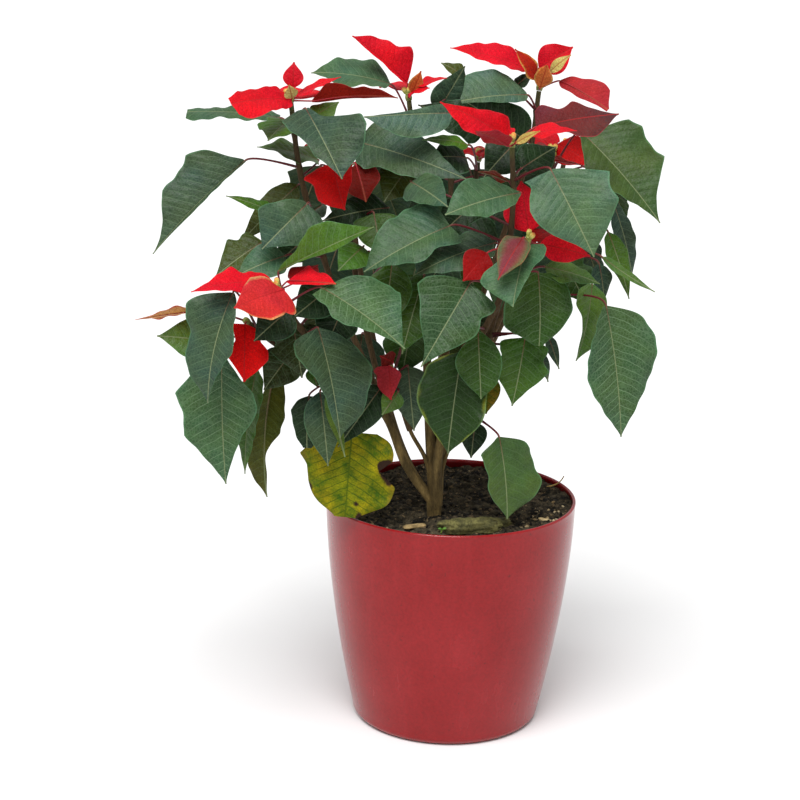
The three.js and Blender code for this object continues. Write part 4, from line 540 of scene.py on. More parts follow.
# Leaf skin is a waxy living film over a net of veins: the colour comes from the blade's tint, which for
# some colour words carries painted light and shade; the veins show as thin paler lines, the margin as a
# light thread, and the gloss is soft and uneven.
def leafSkin(name, s):
    material, tree, shader = startMaterial(name, {
        "IOR": 1.42, "Specular IOR Level": s["specular"],
        "Sheen Weight": s["sheen"], "Sheen Roughness": 0.5,
    })
    tint = addNode(tree, "Attribute", {"attribute_name": "tint"})
    veins = addNode(tree, "SeparateXYZ", links={0: addNode(tree, "UVMap", {"uv_map": "veins"}).outputs[0]})
    bladeMap = addNode(tree, "UVMap", {"uv_map": "blade"})
    blade = addNode(tree, "SeparateXYZ", links={0: bladeMap.outputs[0]})
    # side veins wander a little off their even course
    wander = addNode(tree, "TexNoise", {"Scale": 0.05, "Detail": 2},
                     {"Vector": bladeMap.outputs[0]}).outputs[0]
    wander = addNode(tree, "MapRange", {1: 0.3, 2: 0.7, 3: -0.15, 4: 0.15}, {0: wander}).outputs[0]
    course = addNode(tree, "Math", {"operation": "ADD"}, {0: veins.outputs[0], 1: wander}).outputs[0]
    place3d = addNode(tree, "TexCoord").outputs["Object"]
    share = addNode(tree, "Math", {"operation": "ABSOLUTE"}, {0: veins.outputs[1]}).outputs[0]
    fromRib = addNode(tree, "Math", {"operation": "ABSOLUTE"}, {0: blade.outputs[0]}).outputs[0]

    # side veins: phase is whole on a vein, so its distance from a whole number is the distance away
    phase = addNode(tree, "Math", {"operation": "PINGPONG", 1: 0.5}, {0: course}).outputs[0]
    sideVein = addNode(tree, "MapRange", {"interpolation_type": "SMOOTHSTEP", 1: s["veinWidth"] * 0.25,
                                          2: s["veinWidth"], 3: 1, 4: 0}, {0: phase}).outputs[0]
    fade = addNode(tree, "MapRange", {1: 0.6, 2: 1, 3: 1, 4: 0.15}, {0: share}).outputs[0]
    sideVein = addNode(tree, "Math", {"operation": "MULTIPLY"}, {0: sideVein, 1: fade}).outputs[0]
    rib = addNode(tree, "MapRange", {"interpolation_type": "SMOOTHSTEP", 1: s["ribWidth"] * 0.4,
                                     2: s["ribWidth"], 3: 1, 4: 0}, {0: fromRib}).outputs[0]
    # net of fine veins between them, drawn about 3 mm apart so that it shows
    net = addNode(tree, "TexVoronoi", {"feature": "DISTANCE_TO_EDGE", "Scale": 0.34},
                  {"Vector": bladeMap.outputs[0]}).outputs["Distance"]
    net = addNode(tree, "MapRange", {1: 0.02, 2: 0.16, 3: s["net"], 4: 0}, {0: net}).outputs[0]
    allVeins = addNode(tree, "Math", {"operation": "MAXIMUM"}, {0: sideVein, 1: net}).outputs[0]

    # an aged leaf keeps its green in patches and beside the veins, and dies off in brown spots
    ground = tint.outputs["Color"]
    if "mottle" in s:
        patch = addNode(tree, "TexNoise", {"Scale": 0.045, "Detail": 5, "Roughness": 0.65},
                        {"Vector": bladeMap.outputs[0]}).outputs[0]
        patch = addNode(tree, "Math", {"operation": "MULTIPLY_ADD", 1: 0.07},
                        {0: sideVein, 2: patch}).outputs[0]
        patch = addNode(tree, "MapRange", {1: 0.38, 2: 0.62}, {0: patch}).outputs[0]
        ground = addNode(tree, "Mix", {"data_type": "RGBA", 7: colour(s["mottle"])},
                         {0: patch, 6: ground}).outputs[2]
    # broad drifts between a cooler and a warmer green or red, about 40 mm across
    drift = addNode(tree, "TexNoise", {"Scale": 24, "Detail": 2}, {"Vector": place3d}).outputs[0]
    drift = addNode(tree, "MapRange", {1: 0.36, 2: 0.64}, {0: drift}).outputs[0]
    drift = addNode(tree, "Mix", {"data_type": "RGBA", 6: s["cool"], 7: s["warm"]}, {0: drift}).outputs[2]
    ground = addNode(tree, "VectorMath", {"operation": "MULTIPLY"}, {0: ground, 1: drift}).outputs[0]
    blotch = addNode(tree, "TexNoise", {"Scale": 70, "Detail": 3}, {"Vector": place3d}).outputs[0]
    blotchTone = addNode(tree, "MapRange", {1: 0.3, 2: 0.7, 3: 1 - s["blotch"], 4: 1 + s["blotch"]},
                         {0: blotch}).outputs[0]
    grain = addNode(tree, "TexNoise", {"Scale": 0.7, "Detail": 2},
                    {"Vector": bladeMap.outputs[0]}).outputs[0]
    grainTone = addNode(tree, "MapRange", {1: 0.3, 2: 0.7, 3: 1 - s["grain"], 4: 1 + s["grain"]},
                        {0: grain}).outputs[0]
    tone = addNode(tree, "Math", {"operation": "MULTIPLY"}, {0: blotchTone, 1: grainTone}).outputs[0]
    body = addNode(tree, "VectorMath", {"operation": "SCALE"}, {0: ground, "Scale": tone}).outputs[0]
    strength = addNode(tree, "Math", {"operation": "MULTIPLY"},
                       {0: allVeins, 1: tint.outputs["Alpha"]}).outputs[0]
    veinShow = addNode(tree, "Math", {"operation": "MULTIPLY", 1: s["veinShow"], "use_clamp": True},
                       {0: strength}).outputs[0]
    veined = addNode(tree, "Mix", {"data_type": "RGBA", 7: colour(s["vein"])},
                     {0: veinShow, 6: body}).outputs[2]
    # the midrib keeps the petiole's red for its first stretch
    red = addNode(tree, "MapRange", {1: 4, 2: s["redReach"], 3: 1, 4: 0}, {0: blade.outputs[1]}).outputs[0]
    ribColour = addNode(tree, "Mix", {"data_type": "RGBA", 6: colour(s["rib"]), 7: colour(s["ribRed"])},
                        {0: red}).outputs[2]
    ribShow = addNode(tree, "Math", {"operation": "MULTIPLY", 1: s["ribShow"]}, {0: rib}).outputs[0]
    ribbed = addNode(tree, "Mix", {"data_type": "RGBA"}, {0: ribShow, 6: veined, 7: ribColour}).outputs[2]
    margin = addNode(tree, "MapRange", {1: 0.945, 2: 0.985, 3: 0, 4: s["marginShow"]}, {0: share}).outputs[0]
    edged = addNode(tree, "Mix", {"data_type": "RGBA", 7: colour(s["margin"])},
                    {0: margin, 6: ribbed}).outputs[2]
    ragged = addNode(tree, "MapRange", {1: 0.3, 2: 0.7, 3: -3, 4: 3}, {0: blotch}).outputs[0]
    for across, along, radius in s.get("spots", ()):
        away = addNode(tree, "VectorMath", {"operation": "DISTANCE", 1: (across, along, 0)},
                       {0: bladeMap.outputs[0]}).outputs["Value"]
        away = addNode(tree, "Math", {"operation": "ADD"}, {0: away, 1: ragged}).outputs[0]
        dead = addNode(tree, "MapRange", {1: radius - 2, 2: radius, 3: 1, 4: 0}, {0: away}).outputs[0]
        edged = addNode(tree, "Mix", {"data_type": "RGBA", 7: colour("2A1A10")},
                        {0: dead, 6: edged}).outputs[2]
    tree.links.new(edged, shader.inputs["Base Color"])
    gloss = addNode(tree, "MapRange", {1: 0.3, 2: 0.7, 3: s["roughness"] - 0.07, 4: s["roughness"] + 0.07},
                    {0: grain}).outputs[0]
    tree.links.new(gloss, shader.inputs["Roughness"])
    # the skin swells between side veins, and the veins lie in furrows on top and stand proud below; mm
    turn = addNode(tree, "Math", {"operation": "MULTIPLY", 1: 2 * math.pi}, {0: course}).outputs[0]
    turn = addNode(tree, "Math", {"operation": "COSINE"}, {0: turn}).outputs[0]
    quilt = addNode(tree, "Math", {"operation": "MULTIPLY", 1: 0.09 * s["relief"]}, {0: turn}).outputs[0]
    grooves = addNode(tree, "Math", {"operation": "MAXIMUM"}, {0: allVeins, 1: rib}).outputs[0]
    height = addNode(tree, "Math", {"operation": "MULTIPLY_ADD", 1: 0.22 * s["relief"]},
                     {0: grooves, 2: quilt}).outputs[0]
    crinkle = addNode(tree, "TexNoise", {"Scale": 0.24, "Detail": 3},
                      {"Vector": bladeMap.outputs[0]}).outputs[0]
    height = addNode(tree, "Math", {"operation": "MULTIPLY_ADD", 1: 1.1}, {0: crinkle, 2: height}).outputs[0]
    height = addNode(tree, "Math", {"operation": "MULTIPLY_ADD", 1: 0.3}, {0: grain, 2: height}).outputs[0]
    bump = addNode(tree, "Bump", {"Strength": s["bump"], "Distance": 0.001}, {"Height": height})
    tree.links.new(bump.outputs[0], shader.inputs["Normal"])
    return material


leafTopLook = {
    "specular": 0.26, "sheen": 0.0, "roughness": 0.42, "veinWidth": 0.07, "ribWidth": 0.75, "net": 0.35,
    "veinShow": 0.3, "vein": "748F6B", "rib": "7D8661", "ribRed": "6B362F", "ribShow": 0.7, "redReach": 26,
    "marginShow": 0.35, "margin": "588B61", "blotch": 0.2, "grain": 0.24, "relief": -1.0, "bump": 0.8,
    "cool": (0.84, 0.95, 1.14, 1), "warm": (1.2, 1.05, 0.78, 1),
}
leafUnderLook = dict(leafTopLook, specular=0.18, roughness=0.6, veinShow=0.3, vein="6B7D44", net=0.35,
                     ribWidth=1.0, relief=1.0, margin="61743A", marginShow=0.3, redReach=40)
bractTopLook = dict(leafTopLook, specular=0.14, roughness=0.55, veinShow=0.28, vein="740404", net=0.8,
                    rib="A12323", ribRed="7D0404", ribShow=0.6, margin="C5444A", marginShow=0.3,
                    blotch=0.14, grain=0.2, cool=(0.96, 1, 1.25, 1), warm=(1.04, 1, 0.8, 1))
bractUnderLook = dict(bractTopLook, relief=1.0, vein="7D0404", rib="A1583A", ribWidth=1.1)
# spots = brown patches: mm across, mm along, radius
agedLook = dict(leafTopLook, vein="2F4604", rib="3E5204", ribRed="3E5204", veinShow=0.55, ribShow=0.7,
                ribWidth=1.1, veinWidth=0.1, net=0.3, margin="746B14", marginShow=0.3, roughness=0.55,
                specular=0.15, mottle="3C5604",
                spots=((-10, 69, 4), (-36, 32, 11), (-44, 38, 12), (38, 56, 6), (-14, 81, 4)))


# Young stems and petioles are smooth herb stalk, slightly glossy, streaked along their length.
def stalkSkin(name):
    material, tree, shader = startMaterial(name, {"IOR": 1.42, "Specular IOR Level": 0.4, "Roughness": 0.45})
    tint = addNode(tree, "Attribute", {"attribute_name": "tint"})
    place3d = addNode(tree, "TexCoord").outputs["Object"]
    speck = addNode(tree, "TexNoise", {"Scale": 900, "Detail": 3}, {"Vector": place3d}).outputs[0]
    tone = addNode(tree, "MapRange", {1: 0.3, 2: 0.7, 3: 0.78, 4: 1.22}, {0: speck}).outputs[0]
    body = addNode(tree, "VectorMath", {"operation": "SCALE"}, {0: tint.outputs["Color"], "Scale": tone})
    tree.links.new(body.outputs[0], shader.inputs["Base Color"])
    bump = addNode(tree, "Bump", {"Strength": 0.3, "Distance": 0.0004}, {"Height": speck})
    tree.links.new(bump.outputs[0], shader.inputs["Normal"])
    return material


# Old stems are thin grey-brown bark, matt, with lengthwise cracks about 1 mm apart and pale pores.
def barkSkin(name, scale, dark, light, spread=0.25):
    material, tree, shader = startMaterial(
        name, {"IOR": 1.45, "Specular IOR Level": 0.25, "Roughness": 0.82})
    tint = addNode(tree, "Attribute", {"attribute_name": "tint"})
    place3d = addNode(tree, "TexCoord").outputs["Object"]
    long = addNode(tree, "Mapping", {"Scale": (scale, scale, scale * spread)},
                   {"Vector": place3d}).outputs[0]
    streak = addNode(tree, "TexNoise", {"Scale": 1, "Detail": 6, "Roughness": 0.65},
                     {"Vector": long}).outputs[0]
    tone = addNode(tree, "MapRange", {1: 0.32, 2: 0.68, 3: dark, 4: light}, {0: streak}).outputs[0]
    body = addNode(tree, "VectorMath", {"operation": "SCALE"}, {0: tint.outputs["Color"], "Scale": tone})
    tree.links.new(body.outputs[0], shader.inputs["Base Color"])
    bump = addNode(tree, "Bump", {"Strength": 0.8, "Distance": 0.0012}, {"Height": streak})
    tree.links.new(bump.outputs[0], shader.inputs["Normal"])
    return material


leafTop = leafSkin("leafTopSkin", leafTopLook)
leafUnder = leafSkin("leafUnderSkin", leafUnderLook)
bractTop = leafSkin("bractTopSkin", bractTopLook)
bractUnder = leafSkin("bractUnderSkin", bractUnderLook)
agedLeaf = leafSkin("yellowedLeafSkin", agedLook)
stalk = stalkSkin("petioleSkin")
woodyStem = barkSkin("woodyStemBark", 700, 0.62, 1.4)
skinNumber = {"leaf": (0, 1), "bract": (2, 3), "aged": (4, 4), "stalk": 5, "wood": 6}
plantMaterials = [leafTop, leafUnder, bractTop, bractUnder, agedLeaf, stalk, woodyStem]

# blades: leaves and bracts
blades = {
    "leafThickness": 0.5,
    "bractThickness": 0.45,
    "rowStep": 1.9,     # mm between the grid's rows
    "columnStep": 2.6,
    "veinSpacing": 7.8,
    "leafQuilt": 0.4,   # mm that the skin swells between side veins
    "bractQuilt": 0.16,
    "ruffle": 0.9,      # mm of fine wave along the margin
    "ruffleLength": 17,
    "buckle": 0.35,     # mm of slow unevenness, over buckleSize mm
    "buckleSize": 16,
    "waveTurns": 1.6,
    "waveHeight": 0.1,
    "edgeDroop": 0.1,
    "bluntTip": 0.7,
    "foldFade": 0.3,    # share of the fold that is gone at the tip
    "marginThinning": 0.6,
    "bractVeins": 0.7,  # bract vein spacing as a share of the leaf's
    "veinRise": (0.42, 0.2),
    "veinStagger": 0.15,
    "rowsTowardsBase": 1.15,
}

# Each colour word gives the side turned to the front, the other side, and what departs from it:
# edge = (colour, share of the half width where it starts), tip = (colour, share of the length),
# veins = how strongly the veins show.
finishes = {
    "dark": {"seen": "2F4431", "other": "465A2A"},
    "mid": {"seen": "365438", "other": "4C5F2D"},
    # light and lime: the paler green of the underside, made lighter still for light shining through backlit
    # blades: painted light
    "light": {"seen": "466323", "other": "3E5823"},
    "olive": {"seen": "3C4204", "other": "2A3A0D"},
    "grass": {"seen": "2F5004", "other": "3E5220"},
    "blue": {"seen": "405C46", "other": "52653C", "veins": 1.2},
    "deep": {"seen": "28431E", "other": "3E5220", "veins": 1.3},
    "green": {"seen": "234004", "other": "3E5220"},
    # darkest: a near-black copy of the leaf green for filler leaves deep inside the plant: painted shade
    "darkest": {"seen": "0A2404", "other": "2F3E14", "veins": 0.6},
    "fresh": {"seen": "2D4804", "other": "3E541E"},
    # lime: paler underside green, partly painted light shining through the blade
    "lime": {"seen": "3E610D", "other": "3A5A11"},
    "veined": {"seen": "33502F", "other": "4C5F31", "veins": 2},
    "pale": {"seen": "364C20", "other": "2A461E", "veins": 0.5},
    "darkOlive": {"seen": "232D04", "other": "1B2F04"},
    "edgeYellow": {"seen": "183304", "other": "3E4E14", "edge": ("6E7418", 0.9), "veins": 0.5},
    "yellowLeaf": {"seen": "969008", "other": "867D23", "edge": ("8A6A14", 0.9), "skin": "aged"},
    "brownYellow": {"seen": "7D610D", "other": "6B5A1E", "skin": "aged"},
    "red": {"seen": "C80A1C", "other": "A3040A"},
    # redDeep and redShade are darker copies of the red for bracts that lie in shade: painted shade;
    # redBright is a brighter copy that lights up a bract lying in shade: painted light
    "redDeep": {"seen": "B40404", "other": "7D0404"},
    "redShade": {"seen": "780404", "other": "7D0404"},
    "redBright": {"seen": "E60404", "other": "B40404"},
    "redPale": {"seen": "C62A2C", "other": "AF040D", "edge": ("C19E61", 0.92)},
    "pink": {"seen": "9E262D", "other": "A1111E"},
    "maroon": {"seen": "64282C", "other": "7D0814", "tip": ("462A2A", 0.4)},
    "rust": {"seen": "7D1404", "other": "A70404"},
    "edged": {"seen": "AF2311", "other": "A71B08", "edge": ("C3A758", 0.72)},
    "yellow": {"seen": "C0AF61", "other": "B7A752"},
    "orange": {"seen": "B7612F", "other": "AF4620", "edge": ("C3A158", 0.8)},
    "peach": {"seen": "C48A50", "other": "B0703C", "edge": ("B22A1E", 0.7)},
    "dull": {"seen": "5A1108", "other": "692014"},
    "halfGreen": {"seen": "7D3A40", "other": "524A23", "edge": ("46603A", 0.35)},
}

outlineStations = np.array([0, 0.06, 0.17, 0.29, 0.43, 0.61, 0.81, 1])
# half widths at the stations as shares of half the greatest width: the side at v > 0, the other
# side, and the stations where the margin has a corner
outlines = {
    "plain": ([0.07, 0.52, 0.88, 1, 0.96, 0.74, 0.36, 0],
        [0.07, 0.52, 0.88, 1, 0.96, 0.74, 0.36, 0], []),
    "lobed": ([0.08, 0.66, 1, 0.8, 0.88, 0.7, 0.31, 0],
        [0.08, 0.66, 1, 0.8, 0.88, 0.7, 0.31, 0], [2]),
    "angled": ([0.08, 0.7, 0.86, 0.74, 1, 0.7, 0.3, 0],
        [0.08, 0.7, 0.86, 0.74, 1, 0.7, 0.3, 0], [4]),
    "bract": ([0.05, 0.4, 0.78, 0.96, 1, 0.8, 0.38, 0],
        [0.05, 0.4, 0.78, 0.96, 1, 0.8, 0.38, 0], []),
    "wing": ([0.06, 0.3, 0.78, 1, 0.86, 0.76, 0.22, 0],
        [0.06, 0.1, 0.14, 0.16, 0.14, 0.12, 0.06, 0], [3, 5]),
    "saddle": ([0.22, 0.57, 0.63, 0.58, 0.4, 0.33, 0.14, 0],
        [0.06, 0.1, 0.18, 0.42, 0.88, 0.98, 0.66, 0], [2, 5]),
    "swan": ([0.6, 0.75, 0.9, 0.96, 0.83, 0.75, 0.45, 0],
        [0.6, 0.75, 0.6, 0.5, 0.65, 0.5, 0.2, 0], [3, 4]),
    "fan": ([0.4, 0.43, 0.44, 0.57, 0.56, 0.36, 0.1, 0],
        [0.06, 0.31, 0.68, 0.9, 1.06, 1.1, 0.48, 0], [5]),
    "maple": ([0.06, 0.45, 0.9, 1.06, 0.8, 0.56, 0.16, 0],
        [0.06, 0.64, 0.82, 0.64, 0.74, 0.55, 0.24, 0], [3]),
    "cup": ([0.05, 0.15, 0.35, 0.55, 0.8, 1.04, 0.86, 0],
        [0.57, 0.68, 0.75, 0.72, 0.5, 0.3, 0.15, 0], []),
    "shield": ([0.62, 0.55, 0.68, 0.8, 0.78, 0.58, 0.22, 0],
        [0.05, 0.3, 0.66, 1.08, 0.94, 0.96, 0.5, 0], [3, 5]),
    "sail": ([0.09, 0.2, 0.42, 0.62, 0.72, 0.42, 0.14, 0],
        [0.06, 0.34, 0.84, 0.97, 0.92, 0.94, 0.3, 0], [2, 3, 5]),
    "drop": ([0.1, 0.8, 1.3, 1.3, 1.08, 1.06, 0.66, 0],
        [0.09, 0.31, 0.5, 0.7, 0.86, 0.5, 0.2, 0], [5]),
    "mitten": ([0.1, 0.8, 1.06, 0.95, 0.6, 0.32, 0.2, 0],
        [0.06, 0.41, 0.85, 1.12, 1.26, 1.05, 0.86, 0], [4, 6]),
    "spade": ([0.2, 0.5, 0.78, 1.12, 0.9, 0.88, 0.42, 0],
        [0.07, 0.21, 0.47, 0.78, 0.82, 0.48, 0.2, 0], [3, 5]),
    "oak": ([0.06, 0.5, 0.8, 1, 0.84, 0.78, 0.6, 0.22],
        [0.5, 0.7, 0.85, 0.86, 0.58, 0.95, 0.8, 0.25], [3, 4, 5]),
    "tear": ([0.06, 0.41, 0.78, 0.88, 0.95, 0.85, 0.46, 0],
        [0.06, 0.34, 0.6, 0.76, 0.82, 0.79, 0.42, 0], []),
    "pear": ([0.06, 0.2, 0.44, 0.7, 0.87, 0.8, 0.43, 0],
        [0.06, 0.22, 0.52, 0.72, 0.82, 0.76, 0.54, 0], []),
    "disc": ([0.3, 0.55, 0.8, 0.95, 1, 1, 0.85, 0.1],
        [0.3, 0.6, 0.78, 0.84, 0.86, 0.76, 0.5, 0.1], []),
    "paddle": ([0.09, 0.28, 0.52, 0.77, 0.9, 0.9, 0.54, 0],
        [0.06, 0.78, 1.14, 1.24, 1.18, 0.92, 0.43, 0], []),
    "tongue": ([0.09, 0.35, 0.84, 0.75, 0.72, 0.75, 0.37, 0],
        [0.06, 0.68, 1, 1.12, 1.22, 1.3, 0.88, 0], [2]),
    "slip": ([0.06, 0.12, 0.34, 0.68, 0.72, 0.74, 0.46, 0],
        [0.07, 0.17, 0.38, 0.48, 0.5, 0.5, 0.28, 0], [3]),
    "flat": ([0.3, 0.36, 0.36, 0.3, 0.2, 0.1, 0.06, 0],
        [0.06, 0.5, 0.84, 1, 1.06, 0.98, 0.6, 0], [3, 6]),
    "spoon": ([0.05, 0.06, 0.08, 0.14, 0.24, 0.32, 0.2, 0],
        [0.06, 0.2, 0.3, 0.5, 0.88, 0.92, 0.42, 0], [4]),
    "flag": ([0.06, 0.4, 0.9, 0.98, 0.72, 0.68, 0.42, 0],
        [0.1, 0.18, 0.22, 0.22, 0.2, 0.2, 0.1, 0], [3, 5]),
    "bell": ([0.5, 0.8, 0.9, 0.86, 0.8, 0.8, 0.76, 0.4],
        [0.1, 0.5, 0.7, 0.8, 0.95, 1.1, 1.25, 0.9], [6]),
    "sickle": ([0.5, 0.9, 0.9, 0.84, 0.66, 0.4, 0.15, 0],
        [0.06, 0.2, 0.42, 0.62, 0.82, 0.9, 0.62, 0], [6]),
    "trident": ([0.05, 0.2, 0.5, 0.72, 0.8, 0.6, 0.3, 0],
        [0.7, 0.9, 1, 0.84, 0.97, 0.92, 0.52, 0], [3, 4, 5]),
    "cleft": ([0.5, 0.48, 0.42, 0.35, 0.44, 0.62, 0.28, 0],
        [0.04, 0.35, 0.58, 0.6, 0.87, 0.9, 0.48, 0], [3, 5]),
    "heart": ([0.67, 0.85, 0.96, 0.76, 0.76, 0.74, 0.46, 0],
        [0.08, 0.27, 0.6, 0.72, 0.62, 0.45, 0.2, 0], [2, 5]),
    "ear": ([0.07, 0.16, 0.34, 0.52, 0.72, 1.04, 0.8, 0],
        [0.72, 0.9, 0.85, 0.62, 0.9, 0.52, 0.2, 0], [4]),
    "hook": ([0.3, 0.6, 0.8, 1, 0.85, 0.12, 0.12, 0],
        [0.1, 0.3, 0.5, 0.6, 0.74, 0.96, 1, 0], [4]),
    "shell": ([0.1, 0.25, 0.42, 0.56, 0.7, 0.78, 0.38, 0],
        [0.46, 0.65, 0.76, 0.79, 0.76, 0.57, 0.27, 0], [5]),
    "scarf": ([0.3, 0.7, 0.9, 0.8, 0.4, 0.18, 0.12, 0],
        [0.1, 0.5, 0.8, 0.9, 0.9, 0.8, 0.5, 0], [3]),
    "oar": ([0.1, 0.35, 0.62, 0.8, 0.9, 1, 0.95, 0.1],
        [0.1, 0.25, 0.3, 0.3, 0.3, 0.25, 0.15, 0.1], [6]),
}


def halfWidth(shares, corners, u):
    # cubic Hermite through the outline's shares; a corner station takes its slope from each side alone
    shares = np.array(shares, float)
    slopes = np.gradient(shares, outlineStations)
    i = np.clip(np.searchsorted(outlineStations, u, side="right") - 1, 0, len(shares) - 2)
    span = outlineStations[i + 1] - outlineStations[i]
    t = (u - outlineStations[i]) / span
    straight = (shares[i + 1] - shares[i]) / span
    start, end = slopes[i], slopes[i + 1]
    for corner in corners:
        start = np.where(i == corner, straight, start)
        end = np.where(i + 1 == corner, straight, end)
    end = np.where(i == len(shares) - 2, straight * 0.6, end)
    return np.clip((2 * t ** 3 - 3 * t ** 2 + 1) * shares[i] + (t ** 3 - 2 * t ** 2 + t) * span * start
                   + (3 * t ** 2 - 2 * t ** 3) * shares[i + 1] + (t ** 3 - t ** 2) * span * end, 0, None)


def bladeFrame(row):
    base, tip, width, facing, fold, arch, outline, word = row
    base = place(base)
    along = place(tip) - base
    length = np.linalg.norm(along)
    along /= length
    face = np.array(facing, float)
    face = unit(face - (face @ along) * along)
    return {"base": base, "along": along, "length": length, "face": face, "side": np.cross(along, face),
            "width": width, "fold": math.radians(fold), "arch": arch, "outline": outline, "word": word}


def bladeShape(row, index, kind):
    # P(u, v) = base + along L u + face (4 arch L u (1 - u) + rise) + side v h(u) cos(fold)
    # rise = |v| h sin(fold) + h v^2 (wave - droop) + quilt between the veins + ruffle at the margin
    b = bladeFrame(row)
    rng = np.random.default_rng(1000 + index)
    length, width = b["length"], b["width"]
    rows = int(np.clip(length / blades["rowStep"], 14, 68))
    half = int(np.clip(width / blades["columnStep"] / 2, 4, 14))
    u = np.linspace(0, 1, rows)[:, None] ** blades["rowsTowardsBase"]
    v = np.linspace(-1, 1, 2 * half + 1)[None, :]
    sign = np.sign(v)
    reach = np.abs(v)
    lean = rng.uniform(-0.025, 0.025)
    left, right, corners = outlines[b["outline"]]
    shifted = np.clip(u + sign * lean * np.sin(math.pi * u), 0, 1)
    h = width / 2 * np.where(sign > 0, halfWidth(left, corners, shifted), halfWidth(right, corners, shifted))
    h = np.maximum(h, blades["bluntTip"])
    fold = b["fold"] * (1 - blades["foldFade"] * u)
    room = ease(h, 2, 12)  # relief fades where the blade is narrow
    wave = np.sin(2 * math.pi * blades["waveTurns"] * u + index * 2.4 + sign * 0.8)
    across = v * h
    spacing = blades["veinSpacing"] if kind == "leaf" else blades["veinSpacing"] * blades["bractVeins"]
    count = max(length / spacing, 4)
    outward = np.abs(across) / (width / 2)
    rise1, rise2 = blades["veinRise"]
    stagger = blades["veinStagger"]
    phase = count * (u - (rise1 * outward + rise2 * outward ** 2) * width / 2 / length)
    swell = (blades[kind + "Quilt"] * np.sin(math.pi * (phase + stagger * sign)) ** 2
             * 4 * reach * (1 - reach) * room)
    flat = np.stack([length * u + 0 * v, across, 0 * across], -1)
    swell = swell + blades["buckle"] * ripple(flat, blades["buckleSize"], 40 + index) * reach * room
    ruffle = (blades["ruffle"] * reach ** 4 * room
              * np.sin(2 * math.pi * length / blades["ruffleLength"] * u + index * 1.7 + 2 * sign))
    rise = (reach * h * np.sin(fold) + h * reach ** 2 * (blades["waveHeight"] * wave - blades["edgeDroop"])
            + swell + ruffle)
    arch = b["arch"] * length * 4 * u * (1 - u)
    surface = (b["base"] + b["along"] * (length * u)[..., None] + b["face"] * (arch + rise)[..., None]
               + b["side"] * (across * np.cos(fold))[..., None])
    normal = unit(np.cross(np.gradient(surface, axis=1), np.gradient(surface, axis=0)))
    thickness = blades["leafThickness" if kind == "leaf" else "bractThickness"]
    thickness = thickness * (1 - blades["marginThinning"] * reach ** 6)
    lift = normal * (thickness / 2 * np.ones_like(u))[..., None]
    columns = surface.shape[1]
    total = rows * columns
    points = np.concatenate([(surface + lift).reshape(-1, 3), (surface - lift).reshape(-1, 3)])

    topQuads = gridQuads(rows, columns)
    underQuads = topQuads[:, ::-1] + total
    i = np.arange(rows - 1) * columns
    j = np.arange(columns - 1)
    last = (rows - 1) * columns
    rims = np.concatenate([
        np.stack([i, i + columns, i + columns + total, i + total], -1),
        np.stack([i, i + total, i + columns + total, i + columns], -1) + columns - 1,
        np.stack([j, j + total, j + 1 + total, j + 1], -1),
        np.stack([j, j + 1, j + 1 + total, j + total], -1) + last,
    ])
    quads = np.concatenate([topQuads, underQuads, rims])

    # the phase steps at the midrib, because the two sides' veins alternate
    column = quads % total % columns
    right = column.min(1) >= half
    both = np.stack([(phase - stagger).ravel(), (phase + stagger).ravel()])
    cell = quads % total
    cellPhase = np.where(right[:, None], both[1][cell], both[0][cell])
    wide = np.broadcast_to(v, surface.shape[:2]).ravel()[cell]
    veins = np.stack([cellPhase, wide], -1).reshape(-1, 2)
    mmAcross = across.ravel()[cell]
    mmAlong = np.broadcast_to(length * u, surface.shape[:2]).ravel()[cell]
    blade = np.stack([mmAcross, mmAlong], -1).reshape(-1, 2)

    finish = finishes[b["word"]]
    towards = unit(sight - surface.mean((0, 1)))
    topSeen = b["face"] @ towards > 0
    seen, other = linear(finish["seen"]), linear(finish["other"])
    top, under = (seen, other) if topSeen else (other, seen)
    vary = rng.uniform(0.85, 1.12) * (1 + rng.uniform(-0.05, 0.05, 3))
    sides = []
    for shade in (top, under):
        tint = np.broadcast_to(shade * vary, surface.shape).copy()
        if "edge" in finish:
            edgeColour, edgeStart = finish["edge"]
            mix = ease(reach + 0.06 * ripple(surface, 14, index), edgeStart, 1)[..., None]
            tint = tint * (1 - mix) + linear(edgeColour) * mix
        if "tip" in finish:
            tipColour, tipStart = finish["tip"]
            mix = ease(u + 0.1 * ripple(surface, 20, index), tipStart, 1)[..., None]
            tint = tint * (1 - mix) + linear(tipColour) * mix
        sides.append(tint.reshape(-1, 3))
    skin = skinNumber[finish.get("skin", kind)]
    faceFinish = np.concatenate([np.full(len(topQuads), skin[0]), np.full(len(underQuads), skin[1]),
                                 np.full(len(rims), skin[0])])
    shape = makeShape(points, quads, np.concatenate(sides), faceFinish, None, veins, blade,
                      finish.get("veins", 1))
    return shape, b


# stems and petioles
stems = {
    "woodPoints": 3,
    "footRadius": 3.0,
    "tipRadius": 2.4,
    "sides": 12,
    "nodeSwell": 0.5,
    "petioleDrop": 0.3,
    "petioleLead": 0.12,
    "petioleBow": 0.04,
    "petioleTop": 0.93,
    "leafRadius": 1.1,
    "bractRadius": 0.9,
}
stemTints = [(0.0, "5A4830"), (0.4, "4C3A26"), (0.7, "43341F"), (0.92, "3E3220"), (1.0, "50502C")]
# 0 at the stem, 1 where the blade starts, 2 at its tip
stalkTints = {
    "leaf": [(0, "4A2420"), (0.12, "5A141C"), (0.6, "641820"), (0.85, "6A2C2A"), (1.15, "6C5A3C"),
             (2, "5C6E40")],
    "bract": [(0, "5E2420"), (0.3, "861620"), (1, "9C1822"), (2, "8E1620")],
}


